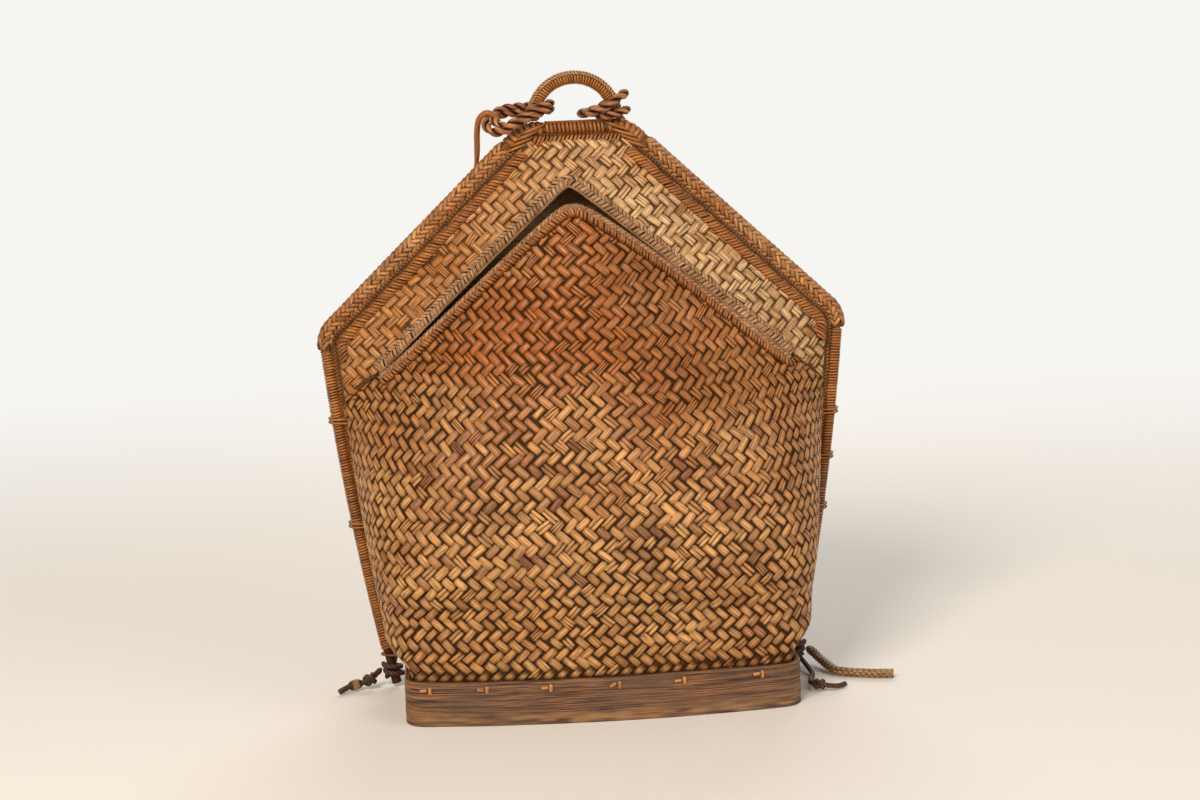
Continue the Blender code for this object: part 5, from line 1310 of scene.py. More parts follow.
def course(line, beside, outward, path, pitch, width, thickness, seed, lean=0.0, mean=0.4, spread=0.2,
           orange=0.4):
    """Short strips side by side over an edge, each following the path.

    A point is line(s) + beside(s) (b + n_b h t) + outward(s) (o + n_o h t), where (b, o) is the path,
    (n_b, n_o) its normal, h the section's height, t the thickness, and s = centre + w width / 2 +
    lean times the distance along the path.
    """
    random = np.random.default_rng(seed)
    beside, outward = (np.broadcast_to(direction, line.shape) for direction in (beside, outward))
    run = lengths_along(path)
    walk = unit(np.gradient(path, axis=0))
    normal = np.stack((-walk[:, 1], walk[:, 0]), axis=1)
    along = lengths_along(line)
    count = int((along[-1] - width) / pitch) + 1
    centre = (np.arange(count) + 0.5) * (along[-1] / count)
    centre = (centre + 0.07 * pitch * random.standard_normal(count))[:, None, None]
    w, h = (column[None, None, :] for column in course_section.T)
    wide = (width / 2 * (1 + 0.08 * random.standard_normal(count)))[:, None, None]
    thick = (thickness * (1 + 0.12 * random.standard_normal(count)))[:, None, None]
    slant = (lean + 0.03 * random.standard_normal(count))[:, None, None]
    middle = (run - run[-1] / 2)[None, :, None]
    place = np.clip(centre + w * wide + slant * middle, 0.0, along[-1])
    b, o = (path[:, k][None, :, None] + normal[:, k][None, :, None] * h * thick for k in (0, 1))
    points = (along_line(line, along, place) + along_line(beside, along, place) * b[..., None]
              + along_line(outward, along, place) * o[..., None])
    tone = np.clip(mean + spread * random.standard_normal(count), 0, 1)[:, None, None]
    ends = np.abs(middle / run[-1] * 2) ** 8
    # painted shade: each strip darkens at its edges and at its ends, where it bends under
    shade_and_dirt = np.clip(0.85 * np.abs(w) ** 5 + 0.8 * ends, 0, 1)
    shift = random.random((count, 1, 1)) * 9
    sides = len(course_section)
    return (points, repeated(tube_quads(len(path), sides), sides * len(path), count),
            triples(tone, orange, shade_and_dirt), triples(middle + shift, w * wide, h * thick + shift))


ridge_inset, ridge_core_radius, ridge_core_offset = 0.0128, 0.0021, 0.0012
ridge_path = np.array(((-2.4, 0.1), (-2.1, 1.6), (-0.8, 3.0), (1.1, 3.6), (3.0, 3.0), (4.3, 1.6),
                       (4.9, 0.1))) / 1000
inner_frame = inset_frame(ridge_inset)
inner_along = lengths_along(inner_frame)
ridge_start = float(np.interp(frame_shoulder[1] - shoulder_radius, inner_frame[:, 1], inner_along))
ridge_end = inner_along[-1] - top_half
for side, name in left_and_right:
    flat = at_lengths(inner_frame, np.linspace(ridge_start, ridge_end, 120))
    line, outward = on_yoke(side * flat[:, 0], flat[:, 1])
    beside = side * unit(np.cross(tangents(line), outward))
    stitches = course(line, beside, outward, ridge_path, pitch=0.0026, width=0.0028, thickness=0.0012,
                      seed=90 + side, lean=-0.60, mean=0.48, spread=0.30, orange=0.45)
    core_line = line + (outward + beside) * ridge_core_offset
    core = dark_core(core_line, (beside, outward), ridge_core_radius, sides=10, shade_and_dirt=1.0)
    dress(f"inner_rim_{name}", "fine", joined((core, stitches)), binding_skin)

# %% [markdown]
# Where the frame turns from the slope to the top bar, four flat strips cross it nearly level, and bind
# the roll, the ridge and the bar together. A row of short leaning stitches fills the space between the
# bar and the yoke.

# %% Corner strips and top stitches
corner_path = np.array(((-8.8, -4.5), (-7.8, -1.4), (-4.2, 0.5), (0.0, 0.9), (4.2, 0.5), (7.8, -1.4),
                        (8.8, -4.5))) / 1000
corner_fall = math.radians(17.0)
for side, name in left_and_right:
    stack = np.linspace((side * 0.0272, -0.0060, 0.3892), (side * 0.0415, -0.0060, 0.3735), 30)
    level = (side * math.cos(corner_fall), 0.0, -math.sin(corner_fall))
    strips = course(stack, level, -frontal, corner_path, pitch=0.0046, width=0.0052, thickness=0.0012,
                    seed=140 + side, mean=0.36, orange=0.50)
    add_piece(f"corner_strips_{name}", strips, binding_skin)

top_x = np.linspace(-0.030, 0.030, 40)
top_line = triples(top_x, yoke_edge_y - 0.0010, body_top_z)
top_path = np.array(((-6.4, 0.2), (-5.6, 1.5), (-3.0, 2.0), (-0.4, 2.0), (1.4, 1.5), (2.4, 0.2))) / 1000
top_stitches = course(top_line, upright, -frontal, top_path, pitch=0.0027, width=0.0024,
                      thickness=0.0008, seed=145, lean=0.45, mean=0.42, orange=0.5)
add_piece("top_stitches", top_stitches, binding_skin)

# %% [markdown]
# The mouth has two edges. The yoke's edge is folded under a border, two rows of pale strips that lean
# opposite ways, with a thin cord at the very edge. The lip below has a plaited roll on its crest, and
# orange strips under it.

# %% Mouth border and lip
mouth_x = np.linspace(-end_x, end_x, 401)
mouth_line, mouth_out = on_yoke(mouth_x, mouth_z(mouth_x))
mouth_up = unit(np.cross(mouth_out, tangents(mouth_line)))
mouth_up = mouth_up * np.sign(mouth_up[:, 2:])
lower_row_path = np.array(((7.4, -1.6), (5.0, -2.3), (1.5, -2.4), (-0.6, -1.7), (-1.3, 0.0), (-0.6, 1.7),
                           (0.9, 2.6), (2.9, 2.7), (4.4, 1.3))) / 1000
upper_row_path = np.array(((3.6, 1.1), (4.1, 2.0), (5.2, 2.4), (6.4, 1.9), (7.0, 0.5))) / 1000
border_lean = 0.35
lower_row = course(mouth_line, mouth_up, mouth_out, lower_row_path, pitch=0.0030, width=0.0031,
                   thickness=0.0009, seed=101, lean=border_lean, mean=0.30, spread=0.26, orange=0.15)
upper_row = course(mouth_line, mouth_up, mouth_out, upper_row_path, pitch=0.0030, width=0.0031,
                   thickness=0.0009, seed=102, lean=-2 * border_lean, mean=0.32, orange=0.15)
edge_cord_line = even_points(mouth_line - mouth_up * 0.0016 + mouth_out * cord_radius, 0.0005)
edge_cord = tube_along(edge_cord_line, frontal,
                       twisted_skin(cord_radius, strands=2, pitch=0.0036, groove=0.3), sides=10)
add_piece("mouth_border", joined((lower_row, upper_row, edge_cord)), border_skin,
          ("mouth_binding",))

lip_line, lip_out = on_pouch(lip_shares, lip_tops)
within = np.abs(lip_line[:, 0]) < end_x
lip_line, lip_out = lip_line[within], lip_out[within]
lip_down = unit(np.cross(tangents(lip_line), lip_out))
lip_down = -lip_down * np.sign(lip_down[:, 2:])
lip_path = np.array(((6.4, -1.6), (4.4, -2.5), (1.8, -2.6), (-0.2, -1.9), (-0.8, 0.0), (-0.2, 1.9),
                     (1.8, 2.7), (4.6, 2.6), (7.0, 0.9))) / 1000
lip_stitches = course(lip_line, lip_down, lip_out, lip_path, pitch=0.0025, width=0.0026,
                      thickness=0.0010, seed=111, lean=0.35, mean=0.50, spread=0.30, orange=0.55)
add_piece("lip_stitches", lip_stitches, binding_skin, ("lip_roll",))
crest_line = even_points(lip_line + lip_out * 0.0011 - lip_down * 0.0002, 0.0012)
lip_crest = plaited_roll(crest_line, side_axes(crest_line, frontal), radius=0.0025, rows=6, pitch=0.0034,
                         slant=math.radians(32), half_length=0.0024, half_wide=0.00105, crown=0.0008,
                         seed=115, mean=0.3)
add_piece("lip_crest", lip_crest, border_skin, ("lip_roll",))

# %% [markdown]
# ## Handle, ropes and straps
# The handle is a bent core under forty-five close turns, with a chain of small strips along the upper
# front of the arch, as a basket maker finishes a grip so that the turns cannot slide.

# %% Handle
handle_half_span, handle_rise, handle_core_radius = 0.0284, 0.0285, 0.0031
bar_top = top_z + top_binding_radius
arch_angle = np.linspace(math.pi, 0.0, 121)
handle_line = even_points(triples(handle_half_span * np.cos(arch_angle), 0.0,
                                  bar_top + gap + handle_rise * np.sin(arch_angle)), 0.001)
handle_axes = side_axes(handle_line, frontal)
handle_core = tube_along(handle_line, frontal, plain_skin(handle_core_radius), sides=14)
dress("handle_core", "round", handle_core, binding_skin)
handle_length = lengths_along(handle_line)[-1]
handle_turns = 45
spine_slant, spine_spread, spine_half_length, spine_half_width = math.radians(40), 0.00085, 0.00155, 0.00070
handle_pitch = handle_length / (handle_turns + 1)
handle_wrap = wound_strip(handle_line, handle_core_radius + 0.0001, handle_pitch,
                          width=0.97 * handle_pitch, thickness=0.00135, per_turn=18, seed=121)
spine_ends = np.arange(int(handle_length / handle_pitch) - 1)
spine_hand = np.tile((1.0, -1.0), len(spine_ends))
spine_radius = handle_core_radius + 0.0014
outer_sign = np.sign(handle_axes[0][len(handle_line) // 2, 2])
spine_start = math.radians(42.0) + (0.0 if outer_sign > 0 else math.pi)
spine = np.column_stack((
    np.repeat(spine_ends + 1.0, 2) * handle_pitch, spine_radius * spine_start + spine_hand * spine_spread,
    spine_hand * spine_slant, np.full(len(spine_hand), spine_half_length),
    np.full(len(spine_hand), spine_half_width),
))
handle_spine = lay_strips(spine, on_tube(handle_line, handle_axes, spine_radius), crown=0.0009,
                          tone=0.25, orange=0.1, seed=123, lift=0.0002)
dress("handle_wrap", "fine", handle_wrap, binding_skin)
add_piece("handle_spine", handle_spine, border_skin)

# %% [markdown]
# Two thick ropes of twisted rattan tie the straps to the handle's legs. Two strands turn about a
# closed route, each a tube of its own, and each leg has two such loops. The routes are shares of the
# handle's half span, of how far a rope passes from a leg, and of the handle's rise.

# %% Rope links and hooks
rope_radius = 0.0035
leg_reach = (handle_core_radius + gap + 0.0013) / math.cos(math.pi / 8) + rope_radius + 2 * gap


def handle_route(shares):
    """Points about the handle from (x, y, z) shares of its half span, the ropes' reach and its rise."""
    return np.array((0.0, 0.0, bar_top)) + np.array(shares) * (handle_half_span, leg_reach, handle_rise)


left_link_route = handle_route((
    (-0.581, 0.0, 0.281), (-0.722, -0.8, 0.253), (-1.056, -1.0, 0.158), (-1.461, -1.177, -0.053),
    (-1.831, -1.035, -0.204), (-2.077, -0.436, -0.123), (-2.113, 0.327, 0.035), (-1.884, 0.894, 0.175),
    (-1.461, 1.068, 0.218), (-1.056, 1.0, 0.232), (-0.722, 0.8, 0.267),
))
right_link_route = handle_route((
    (0.176, 0.0, 0.161), (0.370, -0.719, 0.161), (0.704, -1.0, 0.274), (1.004, -1.0, 0.456),
    (1.190, -0.436, 0.568), (1.215, 0.327, 0.575), (1.021, 1.0, 0.474), (0.704, 1.0, 0.288),
    (0.370, 0.719, 0.168),
))
left_second_route = left_link_route * (0.90, 0.96, 1.0) + (-0.0010, 0.0, 0.0040)
right_second_route = handle_route((
    (0.60, 0.0, 0.08), (0.74, -0.82, 0.08), (0.98, -1.0, 0.12), (1.18, -0.70, 0.17), (1.27, 0.0, 0.20),
    (1.18, 0.70, 0.17), (0.98, 1.0, 0.12), (0.74, 0.82, 0.08),
))


def rope_loop(route, radius, pitch, sides, strands=2):
    """A closed rope of twisted strands, as one made shape, for a pitch that divides its length.

    Strand k runs at line + (across cos p + upward sin p) r / 2, with p = 2 pi (turns s / length + k / n).
    """
    line = curve_through(route, 0.0008, closed=True)
    along = lengths_along(np.concatenate((line, line[:1])))
    middle = line.mean(axis=0)
    turned = unit(np.cross(line - middle, np.roll(line, -1, axis=0) - middle).sum(axis=0))
    walk = tangents(line, closed=True)
    across = unit(np.cross(walk, turned))
    upward = np.cross(walk, across)
    turns = max(1, round(along[-1] / pitch))
    shapes = []
    for k in range(strands):
        phase = 2 * np.pi * (turns * along[:-1] / along[-1] + k / strands)[:, None]
        centre = line + (across * np.cos(phase) + upward * np.sin(phase)) * radius / 2
        ahead = tangents(centre, closed=True)
        beside = unit(np.cross(ahead, turned))
        skin = twisted_skin(radius * 0.56, strands=4, pitch=along[-1] / (2 * turns), groove=0.10)
        made = skinned_tube(centre, (beside, np.cross(ahead, beside)), skin, sides, closed=True)
        depth = np.linalg.norm(made[0] - line[:, None], axis=-1) / radius
        # painted shade: each strand darkens where it turns in towards the rope's middle
        made[2][..., 2] = 0.97 * smooth_step((0.97 - depth) / 0.34)
        shapes.append(made)
    return joined(shapes)


for name, first, second in (("left", left_link_route, left_second_route),
                            ("right", right_link_route, right_second_route)):
    loops = joined((rope_loop(first, radius=0.0033, pitch=0.016, sides=12),
                    rope_loop(second, radius=0.0029, pitch=0.014, sides=12)))
    dress(f"strap_knot_{name}", "rope", loops, rope_twist)

strap_tops = {-1: np.array((-0.0690, 0.0100, 0.3610)), 1: np.array((0.0440, 0.0120, 0.3660))}
strap_foot = np.array((0.1420, 0.0099, 0.0150))
hook_width, hook_depths = 0.0055, {-1: 0.0042, 1: 0.0022}
strap_end_wide, strap_end_thick, strap_sides = 0.0030, 0.0024, 16
hook_routes = {
    -1: handle_route(((-2.366, 0.763, -0.579), (-2.352, 0.436, -0.193), (-2.289, 0.153, 0.105),
                      (-2.106, 0.022, 0.253), (-1.919, -0.044, 0.175), (-1.831, -0.065, 0.021))),
    1: handle_route(((1.408, 1.417, -0.474), (1.215, 1.526, -0.123), (0.986, 1.558, 0.211),
                     (0.845, 1.558, 0.386))),
}
for side, name in left_and_right:
    top = strap_tops[side]
    axis = unit(top - strap_foot * (side, 1, 1))
    start = (top + axis * gap, top + axis * hook_width)
    line = curve_through(np.concatenate((start, hook_routes[side])), 0.0008)
    walk = tangents(line)
    wide = unit(np.cross(walk, frontal)) if side > 0 else unit(frontal - walk * walk[:, 1:2])
    thin = np.cross(walk, wide)
    fullness = smooth_step(lengths_along(line) / (3 * hook_width))[:, None, None]
    angle = np.linspace(0, 2 * np.pi, strap_sides, endpoint=False)[None, :, None]
    half_wide = strap_end_wide / 2 + (hook_width - strap_end_wide) / 2 * fullness
    half_thin = strap_end_wide / 2 + (hook_depths[side] - strap_end_wide) / 2 * fullness
    across, over = half_wide * np.cos(angle), half_thin * np.sin(angle)
    points = line[:, None] + wide[:, None] * across + thin[:, None] * over
    grain = triples(lengths_along(line)[:, None], across[..., 0], over[..., 0])
    look = triples(0.45, 0.5, 0.25 * np.abs(np.cos(angle[..., 0])) ** 6 + 0 * across[..., 0])
    made = (points, tube_quads(len(line), strap_sides), look, grain)
    dress(f"strap_hook_{name}", "round", made, binding_skin)

# %% [markdown]
# The shoulder straps hang from the ropes to the frame's feet, bowed out behind the back. Each is a
# flat plait on a thin core, wide in the middle and drawn into a round cord at each end.

# %% Shoulder straps
strap_width, strap_thickness, strap_bow, strap_straight = 0.028, 0.003, 0.055, 0.0045
strap_taper, strap_bare, strap_core_wide, strap_core_thick = 0.22, 0.004, 0.96, 0.62
for side, name in left_and_right:
    top, foot = strap_tops[side], strap_foot * (side, 1, 1)
    chord = foot - top
    straight = strap_straight / np.linalg.norm(chord)
    share = np.concatenate(([0.0], np.linspace(straight, 1 - straight, 241), [1.0]))
    line = top + chord * share[:, None]
    bent = np.clip((share - straight) / (1 - 2 * straight), 0.0, 1.0)
    line[:, 1] += strap_bow * np.sin(math.pi * bent) ** 1.3
    along = lengths_along(line)
    wide = np.broadcast_to(unit(np.cross(chord, frontal)), line.shape)
    thin = unit(np.cross(wide, tangents(line)))
    fullness = smooth_step(share / strap_taper) * smooth_step((1 - share) / strap_taper)
    half_wide = (strap_end_wide + (strap_width - strap_end_wide) * fullness) / 2
    half_thin = (strap_end_thick + (strap_thickness - strap_end_thick) * fullness) / 2
    angle = np.linspace(0, 2 * np.pi, strap_sides, endpoint=False)
    rounded = np.stack((np.sign(np.cos(angle)) * np.abs(np.cos(angle)) ** 0.6, np.sin(angle)), axis=1)
    core_across, core_over = half_wide[:, None] * rounded[:, 0], half_thin[:, None] * rounded[:, 1]
    core_points = (line[:, None] + wide[:, None] * (core_across * strap_core_wide)[..., None]
                   + thin[:, None] * (core_over * strap_core_thick)[..., None])
    core_grain = triples(along[:, None], core_across, core_over)
    # painted shade: the core, seen between the plaited faces, is dark
    core_look = np.broadcast_to((0.6, 0.3, 0.5), core_points.shape)
    shapes = [(core_points, tube_quads(len(line), strap_sides), core_look, core_grain)]
    for face in (-1.0, 1.0):
        def strap_face(u, v, face=face):
            """Places on one face of the strap: u across, v along; held inside the strap's width."""
            v = np.clip(v, along[1], along[-2])
            reach = np.interp(v, along, half_wide) * 0.97
            u = np.clip(u, -reach, reach)
            rise = np.interp(v, along, half_thin) * 0.45 * np.sqrt(1 - 0.6 * (u / reach) ** 2)
            centre, out = along_line(line, along, v), face * along_line(thin, along, v)
            return centre + along_line(wide, along, v) * u[..., None] * face + out * rise[..., None], out
        laid = twill(-0.016, 0.016, 0.0, along[-1], seed=130 + side, size=0.62)
        reach = np.interp(laid[:, 1], along, half_wide)
        on_it = (laid[:, 1] > strap_bare) & (laid[:, 1] < along[-1] - strap_bare)
        laid = laid[on_it & (np.abs(laid[:, 0]) < reach + 0.0008)]
        tone = np.clip(0.35 + 0.2 * noise(laid[:, 0] / 0.004, laid[:, 1] / 0.006), 0, 1)
        shapes.append(lay_strips(laid, strap_face, 0.0008, tone, orange=0.3, seed=134 + side,
                                 lift=0.0002))
    dress(f"strap_{name}", "plait", joined(shapes), pale_plait, body=f"{name}_strap")

# %% [markdown]
# Small lashings hold the frame to the body and to the foot band, and dark cord is tied round the
# frame's two feet. Each follows the same route as its solid, with many more points.

# %% Lashings and foot ties
def belt(first, first_radius, second, second_radius, turns):
    """Points of a belt round two circles: each faces outwards, on the circle that reaches further."""
    facing = np.stack((np.cos(2 * math.pi * turns), np.sin(2 * math.pi * turns)), axis=1)
    on_first = (facing @ first + first_radius >= facing @ second + second_radius)[:, None]
    return np.where(on_first, first + facing * first_radius, second + facing * second_radius)


lashing_radius, lashing_pitch, lashing_loops, lashing_inset = 0.0008, 0.0026, 2, 0.0052
for side, name, heights in ((-1, "left", (0.118, 0.192)), (1, "right", (0.115, 0.151, 0.183))):
    for number, z in enumerate(heights, 1):
        rod_x = side * float(np.interp(z, half_frame[:, 1], half_frame[:, 0]))
        hole_x = side * (float(half_width(z)) - lashing_inset)
        turns = np.linspace(0.0, lashing_loops, 160)
        inner = wall / 2 + gap + 2 * lashing_radius
        rod_reach = cane_radius + 2 * gap + 0.0013 + lashing_radius
        flat = belt(np.array((rod_x, 0.0)), rod_reach, np.array((hole_x + side * inner, back_y)), inner,
                    turns * side + 0.25)
        line = np.column_stack((flat, z + lashing_pitch * (turns - lashing_loops / 2)))
        line = curve_through(line[::5], 0.0006)
        made = tube_along(line, upright, plain_skin(lashing_radius), sides=8)
        dress(f"rod_lashing_{name}_{number}", "round", made, binding_skin)

foot_lashing_z, foot_lashing_radius = 0.024, 0.0009
tie_radius, tie_pitch, tie_loops, tie_start_z = 0.0020, 0.0047, 2, 0.0075
for side, name in left_and_right:
    rod_x = float(np.interp(foot_lashing_z, half_frame[:, 1], half_frame[:, 0]))
    reach = cane_radius + 2 * foot_lashing_radius
    inside = band_half_width - band_thickness - 2 * gap - wall - 2 * foot_lashing_radius
    hole_y = -(band_rear_corner + 2 * foot_lashing_radius)
    hole_x = inside - foot_lashing_radius
    flat = np.array(((rod_x + reach, 0.0), (rod_x, -reach), (band_half_width, hole_y), (inside, hole_y),
                     (hole_x - gap, hole_y / 2), (hole_x, 0.0), (hole_x + gap, -hole_y / 2),
                     (rod_x, reach)))
    route = np.column_stack((flat * (side, 1), np.full(len(flat), foot_lashing_z)))
    made = rope_loop(route, foot_lashing_radius, pitch=0.004, sides=8)
    dress(f"foot_lashing_{name}", "twist", made, rope_twist)
    turns = np.linspace(0.0, tie_loops, 120)
    rise = tie_start_z + tie_pitch * turns
    centre = np.interp(rise, half_frame[:, 1], half_frame[:, 0])
    tie_reach = cane_radius + gap + tie_radius
    line = even_points(triples(side * (centre + tie_reach * np.cos(2 * np.pi * turns)),
                               tie_reach * np.sin(2 * np.pi * turns), rise), 0.0006)
    made = tube_along(line, upright, twisted_skin(tie_radius, strands=3, pitch=0.009, groove=0.26),
                      sides=18)
    dress(f"foot_tie_{name}", "twist", made, dark_twist)

# %% [markdown]
# ## Foot band
# The band is a lath of old wood bent into a hoop. Its grain runs round it, raised where the soft wood
# has worn away. A texture alone would leave its edges perfect, so the grain is pressed into the mesh
# as slow noise along the lath and quick noise across it.

# %% Weathered wood
grain_pitch, grain_length = 0.0008, 0.036
weathered, tree, wood = new_material("weathered split hardwood")
wood.inputs["IOR"].default_value = 1.5
wood_look, wood_grain = look_and_grain(tree, (1 / grain_length, 1 / grain_pitch, 1 / grain_pitch))
lines = add_node(tree, "ShaderNodeTexNoise", {
    "Vector": wood_grain, "Scale": 1.0, "Detail": 5.0, "Roughness": 0.62, "Distortion": 0.25,
})
spot = add_node(tree, "ShaderNodeTexCoord")
patches = add_node(tree, "ShaderNodeTexNoise", {
    "Vector": spot.outputs["Object"], "Scale": 26.0, "Detail": 5.0,
})
dark_lines = add_node(tree, "ShaderNodeMapRange", {
    "Value": lines.outputs[0], "From Min": 0.42, "From Max": 0.59,
})
base = add_node(tree, "ShaderNodeMix", {
    mix_share: dark_lines.outputs[0], mix_first: linear("#2C160A"), mix_second: linear("#94623A"),
}, data_type="RGBA")
grey = add_node(tree, "ShaderNodeMapRange", {
    "Value": patches.outputs[0], "From Min": 0.42, "From Max": 0.64, "To Min": 0.0, "To Max": 0.55,
})
greyed = add_node(tree, "ShaderNodeMix", {
    mix_share: grey.outputs[0], mix_first: base.outputs[mix_result], mix_second: linear("#543E2C"),
}, data_type="RGBA")
paled = add_node(tree, "ShaderNodeMix", {
    mix_share: wood_look[1], mix_first: greyed.outputs[mix_result], mix_second: linear("#A47A4C"),
}, data_type="RGBA")
# the dark colour is painted shade, in the crack and along the lath's bottom edge
soiled_and_shaded = add_node(tree, "ShaderNodeMix", {
    mix_share: wood_look[2], mix_first: paled.outputs[mix_result], mix_second: linear("#22150C"),
}, data_type="RGBA")
ridges = add_node(tree, "ShaderNodeBump", {
    "Height": lines.outputs[0], "Strength": 1.0, "Distance": 0.00060,
})
tree.links.new(soiled_and_shaded.outputs[mix_result], wood.inputs["Base Color"])
tree.links.new(ridges.outputs[0], wood.inputs["Normal"])
wood.inputs["Roughness"].default_value = 0.72
print("wood grain spacing:", grain_pitch * 1000, "mm")

# %% Bent lath
def band_outline():
    """Closed centre line of the band from above: bowed front, rounded corners, straight rear."""
    meet, lean = band_meet()
    bowed = np.linspace(-meet, meet, 61)
    front = np.stack((bowed, -(band_depth - band_thickness / 2) + band_bow * (bowed / meet) ** 2), axis=1)
    corner = np.array((band_reach, front[-1, 1] + math.tan(lean) * (band_reach - meet)))
    rear_corner = np.array((band_reach, 0.0))
    front_bend = fillet(front[-1], corner, rear_corner, band_front_corner, 21)
    rear_bend = fillet(corner, rear_corner, (0.0, 0.0), band_rear_corner, 13)
    half = np.concatenate((front_bend[1:], rear_bend))
    return np.concatenate((front, half, half[::-1] * (-1, 1), front[:1]))


band_line = even_points(band_outline(), 0.0009)[:-1]
rear_middle = int(np.argmin(np.abs(band_line[:, 0]) - 10 * band_line[:, 1]))
band_line = np.roll(band_line, -rear_middle, axis=0)
band_count = len(band_line)
band_axis = np.column_stack((band_line, np.zeros(band_count)))
band_out = np.cross(tangents(band_axis, closed=True), (0.0, 0.0, 1.0))
half_lath, ease = band_thickness / 2, 0.0008
climb = np.linspace(ease, band_height - ease, 25)
profile = np.concatenate((
    np.stack((0 * climb + half_lath, climb), axis=1),
    [(half_lath - 0.3 * ease, band_height - 0.3 * ease), (half_lath - ease, band_height),
     (-half_lath + ease, band_height)],
    np.stack((0 * climb[::6] - half_lath, climb[::-6]), axis=1),
    [(-half_lath + ease, 0.0), (half_lath - ease, 0.0), (half_lath - 0.3 * ease, 0.3 * ease)],
))
band_run = lengths_along(np.concatenate((band_line, band_line[:1])))[:band_count, None]
rise = profile[None, :, 1]
on_face = (profile[None, :, 0] > half_lath * 0.5).astype(float)
# wear is long streaks, broad waves and fine lines, each a noise that is slow along the lath
worn = (0.00016 * noise(band_run / 0.030, rise / 0.0012)
        + 0.00022 * noise(band_run / 0.09 + 5, rise / 0.005)
        + 0.00007 * noise(band_run / 0.012, rise / 0.0007 + 9))
crack_centre = 0.0222 + 0.0012 * noise(band_run / 0.018, 3.3)
crack_open = smooth_step((band_axis[:, :1] - 0.070) / 0.02) * (band_axis[:, 1:2] < -0.05)
crack = np.exp(-((rise - crack_centre) / 0.00055) ** 2) * crack_open
reach = profile[None, :, 0] + on_face * (worn - 0.00022 - 0.0011 * crack)
edge_wave = 0.00035 * noise(band_run / 0.020 + 3, 0.0)
height = rise + np.where(rise > band_height * 0.9, edge_wave - 0.0002, 0.0)
band_points = (band_axis[:, None] + band_out[:, None] * reach[..., None]
               + height[..., None] * np.array((0, 0, 1.0)))
# where the lath rubs on the ground, its lower third is worn pale in streaks
rubbed = (np.clip(1 - rise / 0.011, 0, 1)
          * np.clip(0.45 + 0.9 * noise(band_run / 0.010, rise / 0.0016 + 5), 0, 1))
# painted shade inside the crack and along the lath's bottom edge, where it meets the floor
soil_and_shade = np.clip(crack * 0.95 + 0.25 * (rise < 0.002), 0, 1)
band_quads = grid_quads(band_count, len(profile), wrap_rows=True, wrap_columns=True)
band_made = (band_points, band_quads, triples(0.5, rubbed, soil_and_shade), triples(band_run, rise, profile[:, 0]))
dress("foot_band", "lath", band_made, weathered)

# %% [markdown]
# Flat stitches of split rattan hold the body in the band. Each passes through the lath, and small
# pegs are driven beside them to hold the strips tight.

# %% Stitches and pegs
stitch_wide, stitch_thick, stitch_high, stitch_below = 0.0027, 0.0011, 0.0050, 0.0055
stitch_proud, stitch_dive = 0.0005, 0.0042
peg_half_long, peg_half_high, peg_half_deep, peg_aside = 0.0026, 0.0012, 0.0013, 0.0042


def band_place(x, rear):
    """A stitch's place on the band's centre line, and the outward and level directions there."""
    if rear:
        return np.array((x, 0.0, 0.0)), np.array((0.0, 1.0, 0.0)), np.array((1.0, 0.0, 0.0))
    meet = band_meet()[0]
    level = unit(np.array((1.0, 2 * band_bow * x / meet ** 2, 0.0)))
    y = -(band_depth - band_thickness / 2) + band_bow * (x / meet) ** 2
    return np.array((x, y, 0.0)), np.array((level[1], -level[0], 0.0)), level


stitch_section = np.array(((-1.0, -0.5), (-0.8, 0.3), (0.0, 0.5), (0.8, 0.3), (1.0, -0.5), (0.0, -0.5)))


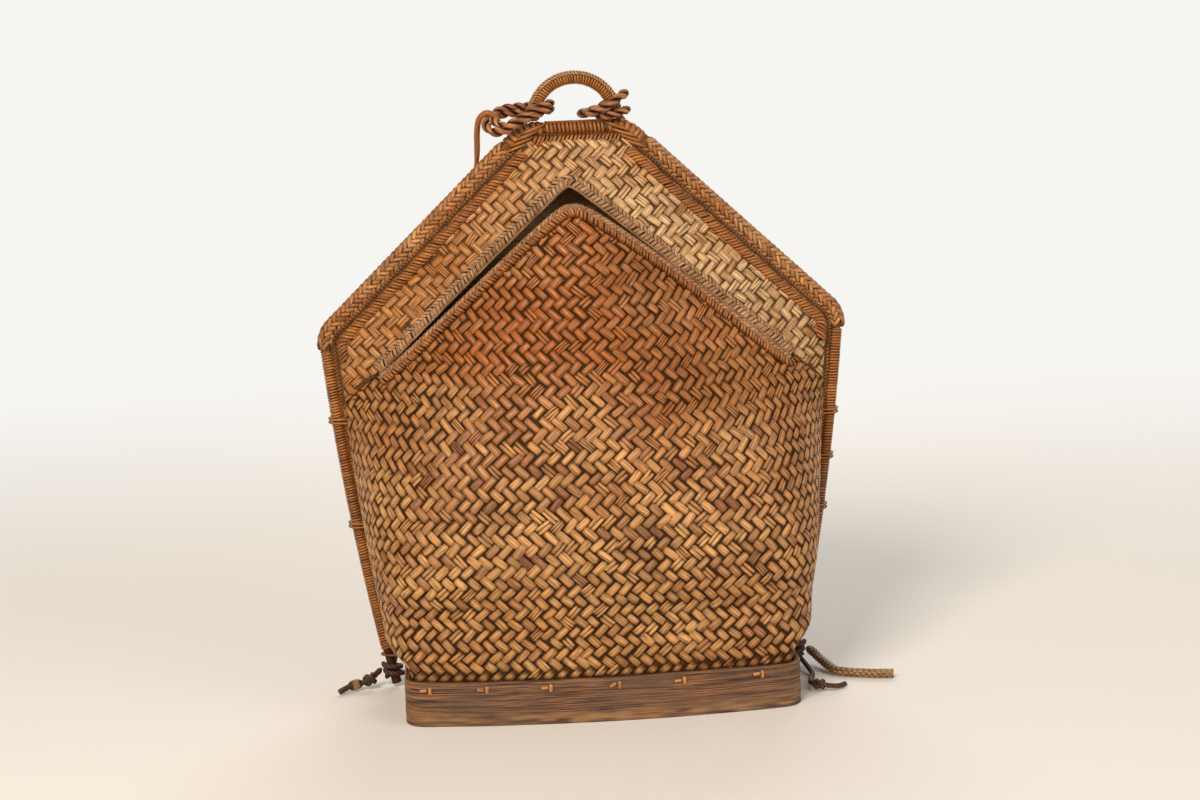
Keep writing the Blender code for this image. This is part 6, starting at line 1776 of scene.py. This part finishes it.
def stitch_loop(x, rear):
    """A flat strip that comes out of the lath, runs up its face, and goes in again."""
    place, outward, level = band_place(x, rear)
    middle_z = band_height - stitch_below
    t = np.linspace(-1.0, 1.0, 17)
    out = half_lath + stitch_proud - stitch_dive * np.abs(t) ** 7
    z = middle_z + stitch_high / 2 * np.sign(t) * np.minimum(np.abs(t) * 1.15, 1.0)
    path = place + outward * out[:, None] + np.outer(z, (0.0, 0.0, 1.0))
    walk = tangents(path)
    facing = np.cross(np.broadcast_to(level, walk.shape), walk)
    facing = facing * np.sign((facing @ outward)[:, None] + 1e-9)
    w, h = stitch_section.T
    points = (path[:, None] + level * (w * stitch_wide / 2)[None, :, None]
              + facing[:, None] * (h * stitch_thick)[None, :, None])
    run = lengths_along(path)[:, None] + x * 7
    # painted shade along the stitch's edges, where it lies against the lath
    look = triples(0.15, 0.25, 0.05 + 0.7 * np.abs(w) ** 6 + 0 * run)
    return (points, tube_quads(len(path), len(w)), look,
            triples(run, w * stitch_wide / 2, h * stitch_thick))


def peg(x, rear, tilt):
    """A small split peg lying on the lath beside a stitch: a rounded pill 5 by 2.5 mm."""
    place, outward, level = band_place(x - peg_aside, rear)
    long_way = level * math.cos(tilt) + np.array((0, 0, math.sin(tilt)))
    high_way = np.cross(outward, long_way)
    s = np.linspace(-1.0, 1.0, 9)
    swell = (1 - np.abs(s) ** 5 * 0.35)[:, None, None]
    angle = np.linspace(0, 2 * np.pi, 10, endpoint=False)
    ring = (high_way * (np.cos(angle) * peg_half_high)[:, None]
            + outward * (np.sin(angle) * peg_half_deep)[:, None])
    centre = place + outward * (half_lath + 0.0004) + np.array((0, 0, band_height - stitch_below + 0.0006))
    points = centre + long_way * (s * peg_half_long)[:, None, None] + ring[None] * swell
    # painted shade at the peg's two ends
    look = triples(0.3, 0.2, 0.05 + 0.7 * (np.abs(s[:, None]) > 0.95) + 0 * angle)
    grain = triples(s[:, None] * peg_half_long + x, 0.001 * np.cos(angle), 0.001 * np.sin(angle))
    return points, tube_quads(len(s), len(angle)), look, grain


front_stitches = band_half_width * np.array((-0.87, -0.588, -0.272, 0.067, 0.39, 0.787))
rear_stitches = band_half_width * np.array((-0.75, -0.27, 0.27, 0.75))
for where, places in (("front", front_stitches), ("rear", rear_stitches)):
    for number, x in enumerate(places, 1):
        made = stitch_loop(x, rear=where == "rear")
        dress(f"base_stitch_{where}_{number}", "strip", made, honey_plait)
peg_tilts = (0.05, -0.04, 0.06, 0.5, 0.1, 0.08)
pegs = [peg(x, False, tilt) for x, tilt in zip(front_stitches, peg_tilts)]
add_piece("band_pegs", joined(pegs), honey_plait)
